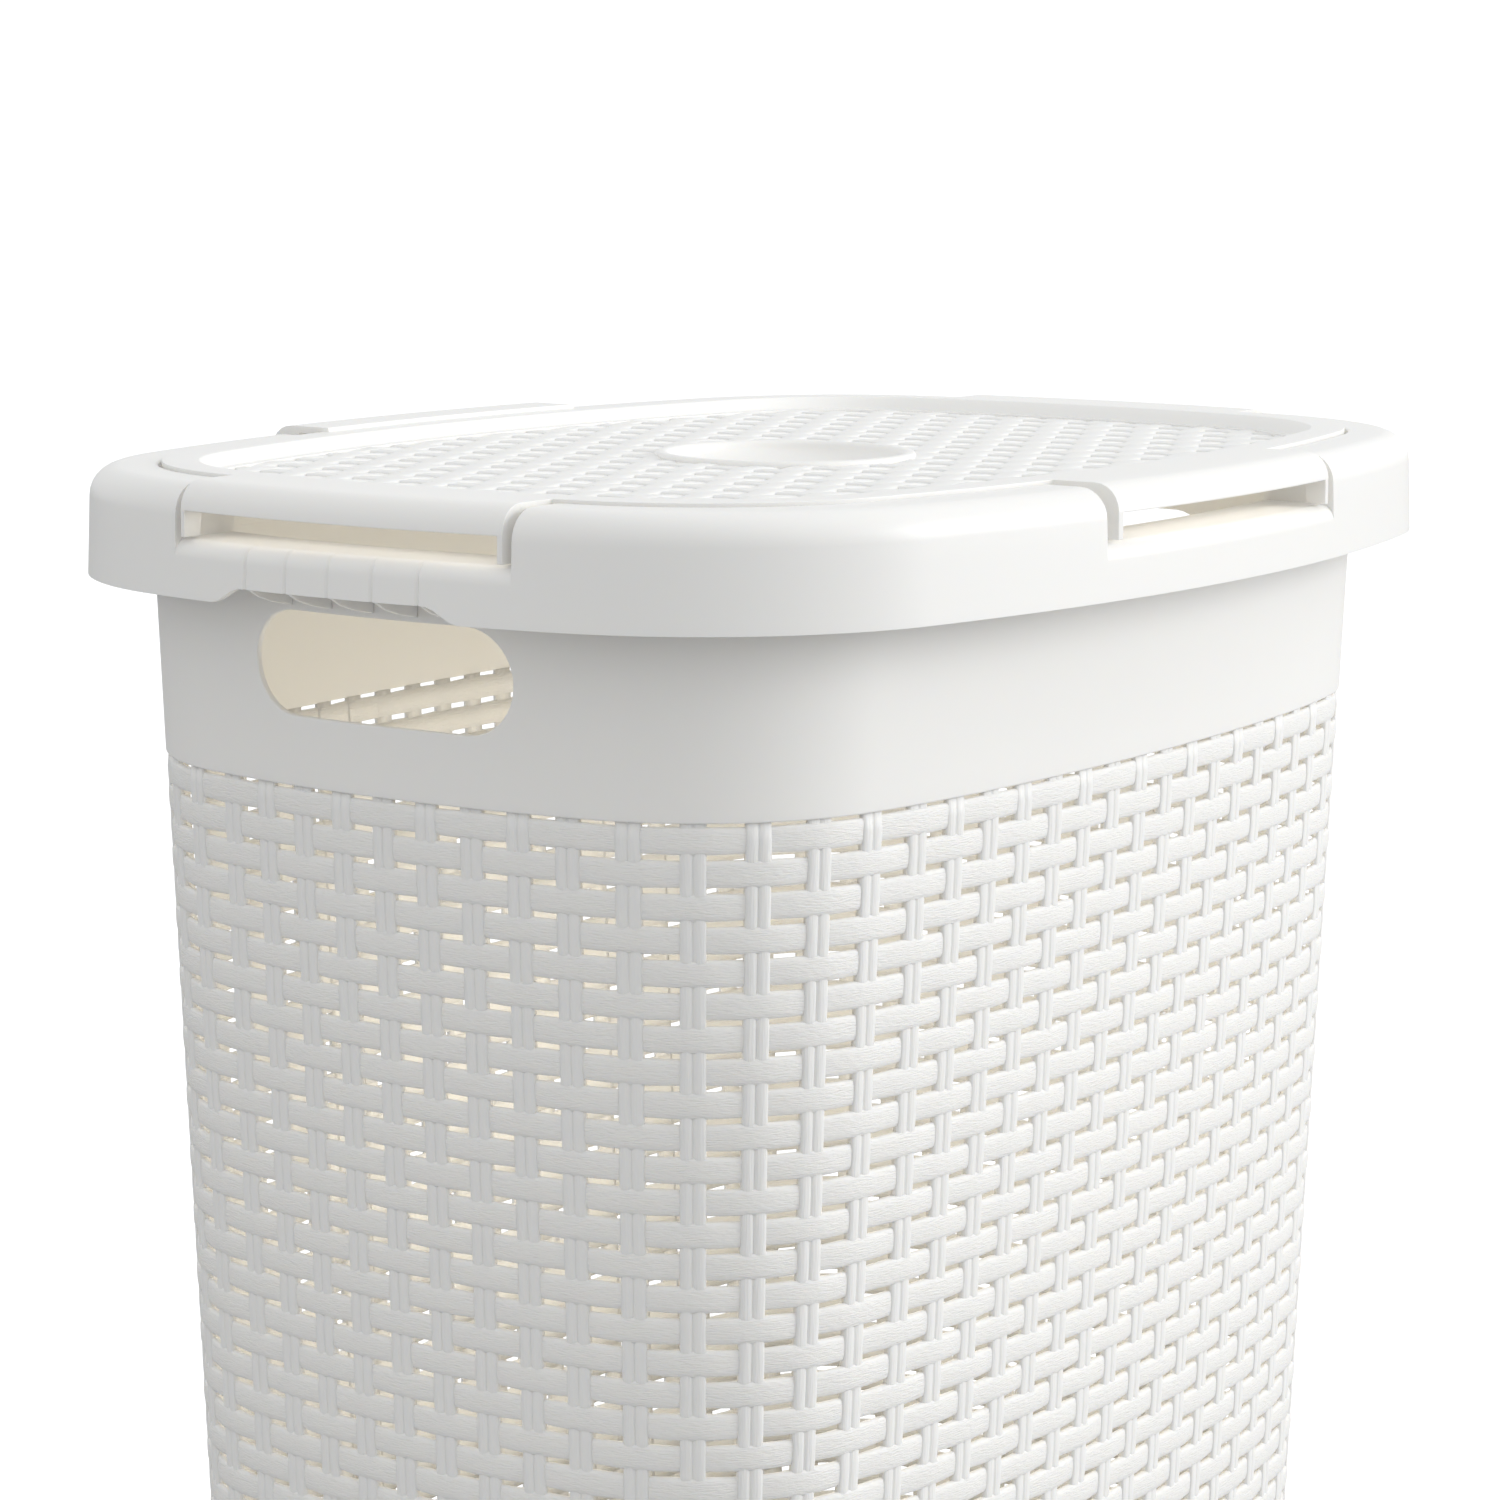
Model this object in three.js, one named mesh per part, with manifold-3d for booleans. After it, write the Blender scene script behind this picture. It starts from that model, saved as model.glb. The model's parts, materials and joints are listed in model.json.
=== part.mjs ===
// Laundry hamper with a hinged lid: a tapered wicker-look basket, a snap-on rim collar and a lid
// with four bridge-shaped grip tabs. Millimetres, X is the long axis, Y the short one, Z is up.
// The origin is the centre of the footprint, on the floor. The hinge is on the +Y long side.
import * as THREE from "three";
import { mergeVertices } from "three/addons/utils/BufferGeometryUtils.js";
import Module from "manifold-3d";

const wasm = await Module();
wasm.setup();

// ---- Driving dimensions ----

// Outer outline of the rim in plan: bowed long sides and ends joined by tangent corner arcs.
const HALF_LENGTH = 222.5;
const HALF_WIDTH = 163;
const LONG_SIDE_RADIUS = 640;
const END_RADIUS = 374;
const CORNER_RADIUS = 94;

// Heights of the stack.
const RIM_TOP = 532.6;
const RIM_BOTTOM = 500.3;
const LID_TOP = 533.6;
const BACK_TAB_TOP = 535;
const BAND_BOTTOM = 446.2;
const BASE_TOP = 28;
const PART_GAP = 0.3;

// Basket wall: its outer face lies inside the rim outline and leans inwards on the way down.
const WALL_INSET_AT_RIM = 18.5;
const WALL_TAPER = 0.042;
const WALL_THICKNESS = 2.4;
const WEAVE_THICKNESS = 3;
const WALL_TOP = 527.8;
const FOOT_WIDTH = 7;
const FLOOR_HEIGHT = 4;
const FLOOR_THICKNESS = 2.5;

// Hand holes through the plain band, one in each end.
const HOLE_HALF_LENGTH = 46.4;
const HOLE_BOTTOM = 466.8;
const HOLE_TOP = 497.2;

// Rim collar: skirt, rounded top edge, flat ring, ledge for the lid, lip inside the wall.
const SHELL = 2.5;
const RIM_DRAFT = 0.8;
const RIM_ROUND = 9;
const RING_INNER = 21;
const LEDGE_INNER = 26.5;
const LEDGE_TOP = 530.6;
const LIP_OUTER = 22.3;
const LIP_THICKNESS = 2;
const LIP_BOTTOM = 508;

// Saddles: where each grip tab crosses, the collar drops to a low shelf with a bevelled edge.
const SADDLE_FLOOR = 517;
const SADDLE_BEVEL_BOTTOM = 511.8;
const SADDLE_BEVEL_WIDTH = 5;
const SADDLE_HALF_END = 60.5;
const SADDLE_HALF_LONG = 70;
const WEB_THICKNESS = 4.5;

// Finger notch in the skirt above each hand hole, and the stiffening ribs behind it.
const NOTCH_HALF_BOTTOM = 44.5;
const NOTCH_HALF_TOP = 33;
const NOTCH_TOP = 504.9;
const RIB_COUNT = 5;
const RIB_SPACING = 15.5;
const RIB_THICKNESS = 1.5;

// Lid: flat border, sloping step and recessed field with a round dish.
const BORDER_OUTER = 22.2;
const BORDER_INNER = 33;
const STEP_INNER = 36.5;
const FIELD_JOINT = 39;
const LID_THICKNESS = 2.4;
const FIELD_TOP = 529.3;
const LOCATING_RIB_INSET = 29.4;
const LOCATING_RIB_BOTTOM = 524;
const DISH_RADIUS = 43;
const DISH_LIP_TOP = 530.6;
const DISH_FLOOR_TOP = 523.4;
const DISH_FLOOR_RADIUS = 30;

// Grip tabs and the legs at their ends.
const TAB_FACE = 0.5;
const TAB_ROUND = 8;
const SLOT_TOP = 525.2;
const TAB_HALF_END = 57.8;
const TAB_HALF_LONG = 65;
const LEG_THICKNESS_END = 1.6;
const LEG_THICKNESS_FRONT = 2.4;
const LEG_THICKNESS_BACK = 3.6;
const LEG_DEPTH = 7;
const LEG_BOTTOM = 517.6;

// Hinge: two headed pins through the back tab's legs into the webs of the back saddle.
const HINGE_Y = 153.7;
const HINGE_Z = 527;
const PIN_RADIUS = 2;
const PIN_CLEARANCE = 0.3;
const PIN_HEAD_RADIUS = 3.2;
const PIN_HEAD_THICKNESS = 1.5;
const PIN_TIP_CHAMFER = 0.5;
const EYE_RADIUS = 5.2;
const SOCKET_DEPTH = 4;

// ---- Outline ----

// Samples of one arc: points with outward normals, angles running counter-clockwise.
function arcSamples(centreX, centreY, radius, from, to, steps) {
  return Array.from({ length: steps + 1 }, (_, i) => {
    const angle = from + ((to - from) * i) / steps;
    const nx = Math.cos(angle);
    const ny = Math.sin(angle);
    return { x: centreX + radius * nx, y: centreY + radius * ny, nx, ny };
  });
}

// The corner arc touches both bowed sides from inside, which fixes its centre.
function cornerCentre() {
  const endX = HALF_LENGTH - END_RADIUS;
  const longY = HALF_WIDTH - LONG_SIDE_RADIUS;
  const toLong = LONG_SIDE_RADIUS - CORNER_RADIUS;
  const toEnd = END_RADIUS - CORNER_RADIUS;
  const span = Math.hypot(endX, longY);
  const along = (toLong ** 2 - toEnd ** 2 + span ** 2) / (2 * span);
  const across = Math.sqrt(toLong ** 2 - along ** 2);
  const unitX = endX / span;
  const unitY = -longY / span;
  return { x: along * unitX + across * unitY, y: longY + along * unitY - across * unitX };
}

// The whole outline, counter-clockwise, as samples shared by every closed sweep.
function outlineSamples(endSteps = 3, cornerSteps = 6, longSteps = 4) {
  const corner = cornerCentre();
  const endX = HALF_LENGTH - END_RADIUS;
  const longY = HALF_WIDTH - LONG_SIDE_RADIUS;
  const endAngle = Math.atan2(corner.y, corner.x - endX);
  const longAngle = Math.atan2(corner.y - longY, corner.x);
  const quarter = [
    ...arcSamples(endX, 0, END_RADIUS, 0, endAngle, endSteps).slice(0, -1),
    ...arcSamples(corner.x, corner.y, CORNER_RADIUS, endAngle, longAngle, cornerSteps).slice(0, -1),
    ...arcSamples(0, longY, LONG_SIDE_RADIUS, longAngle, Math.PI / 2, longSteps),
  ];
  const flip = (s, fx, fy) => ({ x: s.x * fx, y: s.y * fy, nx: s.nx * fx, ny: s.ny * fy });
  const back = [...quarter].reverse();
  return [
    ...quarter,
    ...back.slice(1).map((s) => flip(s, -1, 1)),
    ...quarter.slice(1).map((s) => flip(s, -1, -1)),
    ...back.slice(1, -1).map((s) => flip(s, 1, -1)),
  ];
}

// The four sides. A side's stretch runs counter-clockwise and is centred on the side's middle.
const SIDES = {
  right: { angle: 0, radius: END_RADIUS, reach: HALF_LENGTH },
  back: { angle: Math.PI / 2, radius: LONG_SIDE_RADIUS, reach: HALF_WIDTH },
  left: { angle: Math.PI, radius: END_RADIUS, reach: HALF_LENGTH },
  front: { angle: -Math.PI / 2, radius: LONG_SIDE_RADIUS, reach: HALF_WIDTH },
};

function sideSamples(side, half, steps) {
  const { angle, radius, reach } = SIDES[side];
  const swing = Math.asin(half / radius);
  const centreX = (reach - radius) * Math.round(Math.cos(angle));
  const centreY = (reach - radius) * Math.round(Math.sin(angle));
  return arcSamples(centreX, centreY, radius, angle - swing, angle + swing, steps);
}

// ---- Solids ----

// A closed three.js geometry as a manifold-3d solid.
function solidOf(geometry) {
  const bare = new THREE.BufferGeometry();
  bare.setAttribute("position", geometry.getAttribute("position"));
  bare.setIndex(geometry.getIndex());
  const merged = mergeVertices(bare, 1e-4);
  return new wasm.Manifold(
    new wasm.Mesh({
      numProp: 3,
      vertProperties: new Float32Array(merged.getAttribute("position").array),
      triVerts: new Uint32Array(merged.getIndex().array),
    }),
  );
}

function geometryOf(solid) {
  const mesh = solid.getMesh();
  const geometry = new THREE.BufferGeometry();
  geometry.setAttribute("position", new THREE.BufferAttribute(mesh.vertProperties, 3));
  geometry.setIndex(new THREE.BufferAttribute(mesh.triVerts, 1));
  geometry.computeVertexNormals();
  return geometry;
}

const union = (solids) => solids.reduce((a, b) => a.add(b));
const subtract = (solid, cutters) => cutters.reduce((a, b) => a.subtract(b), solid);

// Sweeps a closed profile of [inset, height] points along outline samples.
function sweep(samples, profile, closed = true) {
  const section = profile.map(([inset, z]) => new THREE.Vector2(inset, z));
  if (!THREE.ShapeUtils.isClockWise(section)) section.reverse();
  const n = section.length;
  const positions = samples.flatMap((s) =>
    section.flatMap((p) => [s.x - p.x * s.nx, s.y - p.x * s.ny, p.y]),
  );
  const index = [];
  const spans = closed ? samples.length : samples.length - 1;
  for (let i = 0; i < spans; i++) {
    const a = i * n;
    const b = ((i + 1) % samples.length) * n;
    for (let j = 0; j < n; j++) {
      const k = (j + 1) % n;
      index.push(a + j, b + j, b + k, a + j, b + k, a + k);
    }
  }
  if (!closed) {
    const last = (samples.length - 1) * n;
    for (const [p, q, r] of THREE.ShapeUtils.triangulateShape(section, [])) {
      const turn = new THREE.Vector2().subVectors(section[q], section[p]);
      const clockwise = turn.cross(new THREE.Vector2().subVectors(section[r], section[p])) < 0;
      const [u, v] = clockwise ? [q, r] : [r, q];
      index.push(p, u, v, last + p, last + v, last + u);
    }
  }
  const geometry = new THREE.BufferGeometry();
  geometry.setAttribute("position", new THREE.Float32BufferAttribute(positions, 3));
  geometry.setIndex(index);
  return solidOf(geometry);
}

// An axis-aligned box given by its lowest and highest corners.
function box(low, high) {
  const size = high.map((h, i) => h - low[i]);
  const middle = high.map((h, i) => (h + low[i]) / 2);
  return solidOf(new THREE.BoxGeometry(...size).translate(...middle));
}

// A tall box over one side, from one distance along the side to another.
function sideBox(side, from, to, bottom = 0) {
  const far = 300;
  const near = 90;
  const top = 600;
  const across = side === "right" || side === "back" ? [near, far] : [-far, -near];
  const alongX = side === "back" || side === "front";
  return alongX
    ? box([from, across[0], bottom], [to, across[1], top])
    : box([across[0], from, bottom], [across[1], to, top]);
}

// A sweep along one side, trimmed square at both ends.
function sideSweep(side, from, to, profile, steps = 8) {
  const reach = Math.max(Math.abs(from), Math.abs(to)) + 4;
  return sweep(sideSamples(side, reach, steps), profile, false).intersect(sideBox(side, from, to));
}

// A flat plate of the outline's shape, drawn in by an inset.
function plate(samples, inset, bottom, top) {
  const points = samples.map((s) => new THREE.Vector2(s.x - inset * s.nx, s.y - inset * s.ny));
  const depth = top - bottom;
  const geometry = new THREE.ExtrudeGeometry(new THREE.Shape(points), { depth, bevelEnabled: false });
  return solidOf(geometry.translate(0, 0, bottom));
}

// A cylinder along X.
function rodAlongX(radius, from, to, y, z, segments = 12) {
  const geometry = new THREE.CylinderGeometry(radius, radius, to - from, segments);
  return solidOf(geometry.rotateZ(Math.PI / 2).translate((from + to) / 2, y, z));
}

// Points of a rounded outer edge, from the vertical face up to the flat top.
function roundEdge(face, top, radius, steps = 3) {
  return Array.from({ length: steps + 1 }, (_, i) => {
    const angle = (Math.PI / 2) * (i / steps);
    return [face + radius * (1 - Math.cos(angle)), top - radius * (1 - Math.sin(angle))];
  });
}

const wallInset = (z) => WALL_INSET_AT_RIM + WALL_TAPER * (RIM_TOP - z);

// The section of the tapered wall between two heights.
function wallProfile(bottom, top, thickness) {
  return [
    [wallInset(bottom), bottom],
    [wallInset(top), top],
    [wallInset(top) + thickness, top],
    [wallInset(bottom) + thickness, bottom],
  ];
}

const outline = outlineSamples();
const saddleHalf = (side) => (side === "left" || side === "right" ? SADDLE_HALF_END : SADDLE_HALF_LONG);
const tabHalf = (side) => (side === "left" || side === "right" ? TAB_HALF_END : TAB_HALF_LONG);
const SPECIAL_LEGS = { front: LEG_THICKNESS_FRONT, back: LEG_THICKNESS_BACK };
const legThickness = (side) => SPECIAL_LEGS[side] ?? LEG_THICKNESS_END;

// ---- Basket ----

function makeBase() {
  const foot = wallInset(0);
  const shell = sweep(outline, [
    [foot, 0],
    [wallInset(BASE_TOP), BASE_TOP],
    [wallInset(BASE_TOP) + WEAVE_THICKNESS, BASE_TOP],
    [foot + WEAVE_THICKNESS + 1, FLOOR_HEIGHT + FLOOR_THICKNESS],
    [foot + FOOT_WIDTH, FLOOR_HEIGHT + FLOOR_THICKNESS],
    [foot + FOOT_WIDTH, 0],
  ]);
  const floor = plate(outline, foot + FOOT_WIDTH / 2, FLOOR_HEIGHT, FLOOR_HEIGHT + FLOOR_THICKNESS);
  return shell.add(floor);
}

function makeWall() {
  return sweep(outline, wallProfile(BASE_TOP + PART_GAP, BAND_BOTTOM - PART_GAP, WEAVE_THICKNESS));
}

// A hand hole: a slot with full-round ends, cut through one end of the band.
function handHole(side) {
  const radius = (HOLE_TOP - HOLE_BOTTOM) / 2;
  const straight = HOLE_HALF_LENGTH - radius;
  const slot = new THREE.Shape();
  slot.absarc(straight, 0, radius, -Math.PI / 2, Math.PI / 2);
  slot.absarc(-straight, 0, radius, Math.PI / 2, (3 * Math.PI) / 2);
  const depth = 60;
  const geometry = new THREE.ExtrudeGeometry(slot, { depth, bevelEnabled: false, curveSegments: 8 });
  geometry.rotateX(Math.PI / 2).rotateZ(Math.PI / 2);
  const start = side === "right" ? HALF_LENGTH - depth : -HALF_LENGTH;
  return solidOf(geometry.translate(start, 0, (HOLE_TOP + HOLE_BOTTOM) / 2));
}

// The wall's top edge is lowered under each saddle, so the slots look into the basket.
function makeBand() {
  const ring = sweep(outline, wallProfile(BAND_BOTTOM, WALL_TOP, WALL_THICKNESS));
  const dipFloor = SADDLE_FLOOR - SHELL - PART_GAP;
  const dips = Object.keys(SIDES).map((side) => {
    const half = saddleHalf(side) + WEB_THICKNESS + PART_GAP;
    return sideBox(side, -half, half, dipFloor);
  });
  return subtract(ring, [...dips, handHole("left"), handHole("right")]);
}

// ---- Rim collar ----

function collarProfile() {
  const outer = roundEdge(RIM_DRAFT, RIM_TOP, RIM_ROUND);
  const inner = roundEdge(RIM_DRAFT + SHELL, RIM_TOP - SHELL, RIM_ROUND - SHELL);
  return [
    [0, RIM_BOTTOM],
    ...outer,
    [RING_INNER, RIM_TOP],
    [RING_INNER, LEDGE_TOP],
    [LEDGE_INNER, LEDGE_TOP],
    [LEDGE_INNER, LEDGE_TOP - SHELL],
    [LIP_OUTER + LIP_THICKNESS, LEDGE_TOP - SHELL],
    [LIP_OUTER + LIP_THICKNESS, LIP_BOTTOM],
    [LIP_OUTER, LIP_BOTTOM],
    [LIP_OUTER, LEDGE_TOP - SHELL],
    [RING_INNER - SHELL, LEDGE_TOP - SHELL],
    [RING_INNER - SHELL, RIM_TOP - SHELL],
    ...inner.reverse(),
    [SHELL, RIM_BOTTOM],
  ];
}

// The low section under a grip tab: skirt, bevelled shoulder, shelf and inner lip.
function saddleProfile() {
  const shelfInner = LIP_OUTER + LIP_THICKNESS;
  const shoulder = RIM_DRAFT / 2;
  return [
    [shoulder / 2, LIP_BOTTOM],
    [shoulder, SADDLE_BEVEL_BOTTOM],
    [shoulder + SADDLE_BEVEL_WIDTH * 0.3, SADDLE_FLOOR - 2],
    [shoulder + SADDLE_BEVEL_WIDTH, SADDLE_FLOOR],
    [shelfInner, SADDLE_FLOOR],
    [shelfInner, LIP_BOTTOM],
    [LIP_OUTER, LIP_BOTTOM],
    [LIP_OUTER, SADDLE_FLOOR - SHELL],
    [shoulder + SADDLE_BEVEL_WIDTH + 1, SADDLE_FLOOR - SHELL],
    [shoulder + SHELL, SADDLE_BEVEL_BOTTOM - 1],
    [shoulder / 2 + SHELL, LIP_BOTTOM],
  ];
}

// What the saddle takes out of the full collar section.
function saddleCutProfile() {
  const outside = -6;
  const inside = 32;
  const shoulder = RIM_DRAFT / 2;
  return [
    [outside, SADDLE_BEVEL_BOTTOM],
    [shoulder, SADDLE_BEVEL_BOTTOM],
    [shoulder + SADDLE_BEVEL_WIDTH * 0.3, SADDLE_FLOOR - 2],
    [shoulder + SADDLE_BEVEL_WIDTH, SADDLE_FLOOR],
    [inside, SADDLE_FLOOR],
    [inside, RIM_TOP + 10],
    [outside, RIM_TOP + 10],
  ];
}

// The web that closes the collar's hollow section at each end of a saddle.
function webProfile() {
  const recess = 0.2;
  return [
    [1, SADDLE_FLOOR - SHELL],
    ...roundEdge(RIM_DRAFT + recess, RIM_TOP - recess, RIM_ROUND),
    [RING_INNER - recess, RIM_TOP - recess],
    [RING_INNER - recess, LEDGE_TOP - recess],
    [LIP_OUTER + LIP_THICKNESS - recess, LEDGE_TOP - recess],
    [LIP_OUTER + LIP_THICKNESS - recess, SADDLE_FLOOR - SHELL],
  ];
}

// The finger notch: a shallow trapezoid cut through the skirt of one end.
function notch(side) {
  const shape = new THREE.Shape([
    new THREE.Vector2(-NOTCH_HALF_BOTTOM - 2, RIM_BOTTOM - 2),
    new THREE.Vector2(NOTCH_HALF_BOTTOM + 2, RIM_BOTTOM - 2),
    new THREE.Vector2(NOTCH_HALF_TOP, NOTCH_TOP),
    new THREE.Vector2(-NOTCH_HALF_TOP, NOTCH_TOP),
  ]);
  const depth = 14;
  const geometry = new THREE.ExtrudeGeometry(shape, { depth, bevelEnabled: false });
  geometry.rotateX(Math.PI / 2).rotateZ(Math.PI / 2);
  const start = side === "right" ? HALF_LENGTH - depth + 4 : -HALF_LENGTH - 4;
  return solidOf(geometry.translate(start, 0, 0));
}

// Ribs tie the skirt to the shelf above the hand hole, where a hand lifts.
function ribs(side) {
  const wallSide = WALL_INSET_AT_RIM;
  const top = SADDLE_FLOOR - 1;
  const profile = [
    [1, NOTCH_TOP + 0.8],
    [1, top - 6],
    [6.5, top],
    [wallSide, top],
    [wallSide, RIM_BOTTOM + 0.7],
  ];
  return Array.from({ length: RIB_COUNT }, (_, i) => {
    const middle = (i - (RIB_COUNT - 1) / 2) * RIB_SPACING;
    return sideSweep(side, middle - RIB_THICKNESS / 2, middle + RIB_THICKNESS / 2, profile, 2);
  });
}

function hingeSockets() {
  const start = SADDLE_HALF_LONG - 1;
  const end = SADDLE_HALF_LONG + SOCKET_DEPTH;
  const radius = PIN_RADIUS + PIN_CLEARANCE;
  return [
    rodAlongX(radius, start, end, HINGE_Y, HINGE_Z),
    rodAlongX(radius, -end, -start, HINGE_Y, HINGE_Z),
  ];
}

function makeCollar() {
  let collar = sweep(outline, collarProfile());
  for (const side of Object.keys(SIDES)) {
    const half = saddleHalf(side);
    const webEnd = half + WEB_THICKNESS;
    collar = union([
      collar,
      sideSweep(side, -webEnd, -half, webProfile(), 6),
      sideSweep(side, half, webEnd, webProfile(), 6),
    ]);
    collar = collar.subtract(sideSweep(side, -half, half, saddleCutProfile()));
    collar = collar.add(sideSweep(side, -half - 1, half + 1, saddleProfile()));
  }
  collar = subtract(collar, [notch("left"), notch("right"), ...hingeSockets()]);
  return union([collar, ...ribs("left"), ...ribs("right")]);
}

// ---- Lid ----

function borderProfile() {
  const edge = 0.8;
  const ribInner = LOCATING_RIB_INSET + 1.6;
  return [
    [BORDER_OUTER, LID_TOP - edge],
    [BORDER_OUTER + edge, LID_TOP],
    [BORDER_INNER, LID_TOP],
    [STEP_INNER, FIELD_TOP],
    [FIELD_JOINT, FIELD_TOP],
    [FIELD_JOINT, FIELD_TOP - LID_THICKNESS],
    [STEP_INNER - 1.5, FIELD_TOP - LID_THICKNESS],
    [ribInner, LEDGE_TOP + PART_GAP],
    [ribInner, LOCATING_RIB_BOTTOM],
    [LOCATING_RIB_INSET, LOCATING_RIB_BOTTOM],
    [LOCATING_RIB_INSET, LEDGE_TOP + PART_GAP],
    [BORDER_OUTER, LEDGE_TOP + PART_GAP],
  ];
}

// The bridge that a hand lifts: a plate with a rounded edge turned down over the rim.
function tabProfile(top) {
  const inset = BORDER_OUTER + 2.5;
  return [
    [TAB_FACE, SLOT_TOP],
    ...roundEdge(TAB_FACE, top, TAB_ROUND),
    [inset, top],
    [inset, top - LID_THICKNESS],
    ...roundEdge(TAB_FACE + LID_THICKNESS, top - LID_THICKNESS, TAB_ROUND - LID_THICKNESS).reverse(),
    [TAB_FACE + LID_THICKNESS, SLOT_TOP],
  ];
}

// A leg's section: it fills the tab's rounded edge and runs down to a stated height.
function legProfile(top, bottom) {
  const recess = 0.1;
  return [
    [TAB_FACE + recess, bottom],
    ...roundEdge(TAB_FACE + recess, top - recess, TAB_ROUND),
    [LEG_DEPTH + 6, top - recess],
    [LEG_DEPTH + 6, top - LID_THICKNESS],
    [LEG_DEPTH + 1, SLOT_TOP],
    [LEG_DEPTH, bottom],
  ];
}

function gripTab(side, top, legBottom) {
  const half = tabHalf(side);
  const thickness = legThickness(side);
  return union([
    sideSweep(side, -half, half, tabProfile(top)),
    sideSweep(side, -half, -half + thickness, legProfile(top, legBottom), 6),
    sideSweep(side, half - thickness, half, legProfile(top, legBottom), 6),
  ]);
}

// The back legs end in round eyes for the hinge pins.
function hingeEyes() {
  const outer = TAB_HALF_LONG;
  const inner = TAB_HALF_LONG - LEG_THICKNESS_BACK;
  return [
    rodAlongX(EYE_RADIUS, inner, outer, HINGE_Y, HINGE_Z),
    rodAlongX(EYE_RADIUS, -outer, -inner, HINGE_Y, HINGE_Z),
  ];
}

function makeLidFrame() {
  const frame = union([
    sweep(outline, borderProfile()),
    gripTab("left", LID_TOP, LEG_BOTTOM),
    gripTab("right", LID_TOP, LEG_BOTTOM),
    gripTab("front", LID_TOP, LEG_BOTTOM),
    gripTab("back", BACK_TAB_TOP, HINGE_Z - 2),
    ...hingeEyes(),
  ]);
  const radius = PIN_RADIUS + PIN_CLEARANCE;
  const bore = rodAlongX(radius, -TAB_HALF_LONG - 1, TAB_HALF_LONG + 1, HINGE_Y, HINGE_Z);
  return frame.subtract(bore);
}

function makeLidField() {
  const field = plate(outline, FIELD_JOINT + PART_GAP, FIELD_TOP - LID_THICKNESS, FIELD_TOP);
  const hole = solidOf(
    new THREE.CylinderGeometry(DISH_RADIUS - 1, DISH_RADIUS - 1, 20, 32)
      .rotateX(Math.PI / 2)
      .translate(0, 0, FIELD_TOP),
  );
  const underside = DISH_FLOOR_TOP - LID_THICKNESS;
  const section = [
    [0, underside],
    [DISH_FLOOR_RADIUS + 1, underside],
    [DISH_RADIUS - 2, FIELD_TOP - LID_THICKNESS],
    [DISH_RADIUS, FIELD_TOP - LID_THICKNESS],
    [DISH_RADIUS, FIELD_TOP],
    [DISH_RADIUS - 1, DISH_LIP_TOP],
    [DISH_RADIUS - 4, DISH_LIP_TOP],
    [DISH_FLOOR_RADIUS, DISH_FLOOR_TOP],
    [0, DISH_FLOOR_TOP],
  ].map(([r, z]) => new THREE.Vector2(r, z));
  const dish = solidOf(new THREE.LatheGeometry(section, 32).rotateX(Math.PI / 2));
  return field.subtract(hole).add(dish);
}

// A headed hinge pin, drawn along its own axis from the head to the tip.
function hingePinGeometry() {
  const inner = TAB_HALF_LONG - LEG_THICKNESS_BACK - PART_GAP;
  const length = SADDLE_HALF_LONG + SOCKET_DEPTH - PART_GAP - inner;
  const section = [
    [0, -PIN_HEAD_THICKNESS],
    [PIN_HEAD_RADIUS, -PIN_HEAD_THICKNESS],
    [PIN_HEAD_RADIUS, 0],
    [PIN_RADIUS, 0],
    [PIN_RADIUS, length - PIN_TIP_CHAMFER],
    [PIN_RADIUS - PIN_TIP_CHAMFER, length],
    [0, length],
  ].map(([r, x]) => new THREE.Vector2(r, x));
  return new THREE.LatheGeometry(section, 12);
}

// ---- Scene graph ----

const basketPlastic = { color: 0xf4f3f0, roughness: 0.42, metalness: 0 };
const weavePlastic = { color: 0xf2f1ee, roughness: 0.5, metalness: 0 };
const collarPlastic = { color: 0xf5f5f3, roughness: 0.4, metalness: 0 };
const lidPlastic = { color: 0xf6f6f4, roughness: 0.4, metalness: 0 };
const pinPlastic = { color: 0xe9e8e4, roughness: 0.35, metalness: 0 };

function part(name, geometry, finish) {
  const mesh = new THREE.Mesh(geometry, new THREE.MeshStandardMaterial(finish));
  mesh.name = name;
  return mesh;
}

// A pin on one side: its axis turned from Y to X, its head towards the middle of the lid.
function hingePin(name, sign) {
  const pin = part(name, hingePinGeometry(), pinPlastic);
  pin.rotation.z = (-sign * Math.PI) / 2;
  pin.position.set(sign * (TAB_HALF_LONG - LEG_THICKNESS_BACK - PART_GAP), HINGE_Y, HINGE_Z);
  return pin;
}

const basket = new THREE.Group();
basket.add(
  part("basket_base", geometryOf(makeBase()), basketPlastic),
  part("basket_wall", geometryOf(makeWall()), weavePlastic),
  part("hand_hole_band", geometryOf(makeBand()), basketPlastic),
  part("rim_collar", geometryOf(makeCollar()), collarPlastic),
);

const lid = new THREE.Group();
lid.add(
  part("lid_frame", geometryOf(makeLidFrame()), lidPlastic),
  part("lid_field", geometryOf(makeLidField()), weavePlastic),
  hingePin("hinge_pin_left", -1),
  hingePin("hinge_pin_right", 1),
);

const hamper = new THREE.Group();
hamper.add(basket, lid);

export default hamper;
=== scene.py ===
"""Looks of the laundry hamper: woven wall, plain band, rim collar, lid and hinge.

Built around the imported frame, in metres. X is the long axis, Y the short one with the hinge on +Y, Z is up.
Every wall follows one outline in plan, drawn in by an inset, so a place is a distance round the outline,
an inset and a height.
"""
import json
import math

import bmesh
import bpy
import numpy as np
from mathutils import Matrix, Vector


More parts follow.
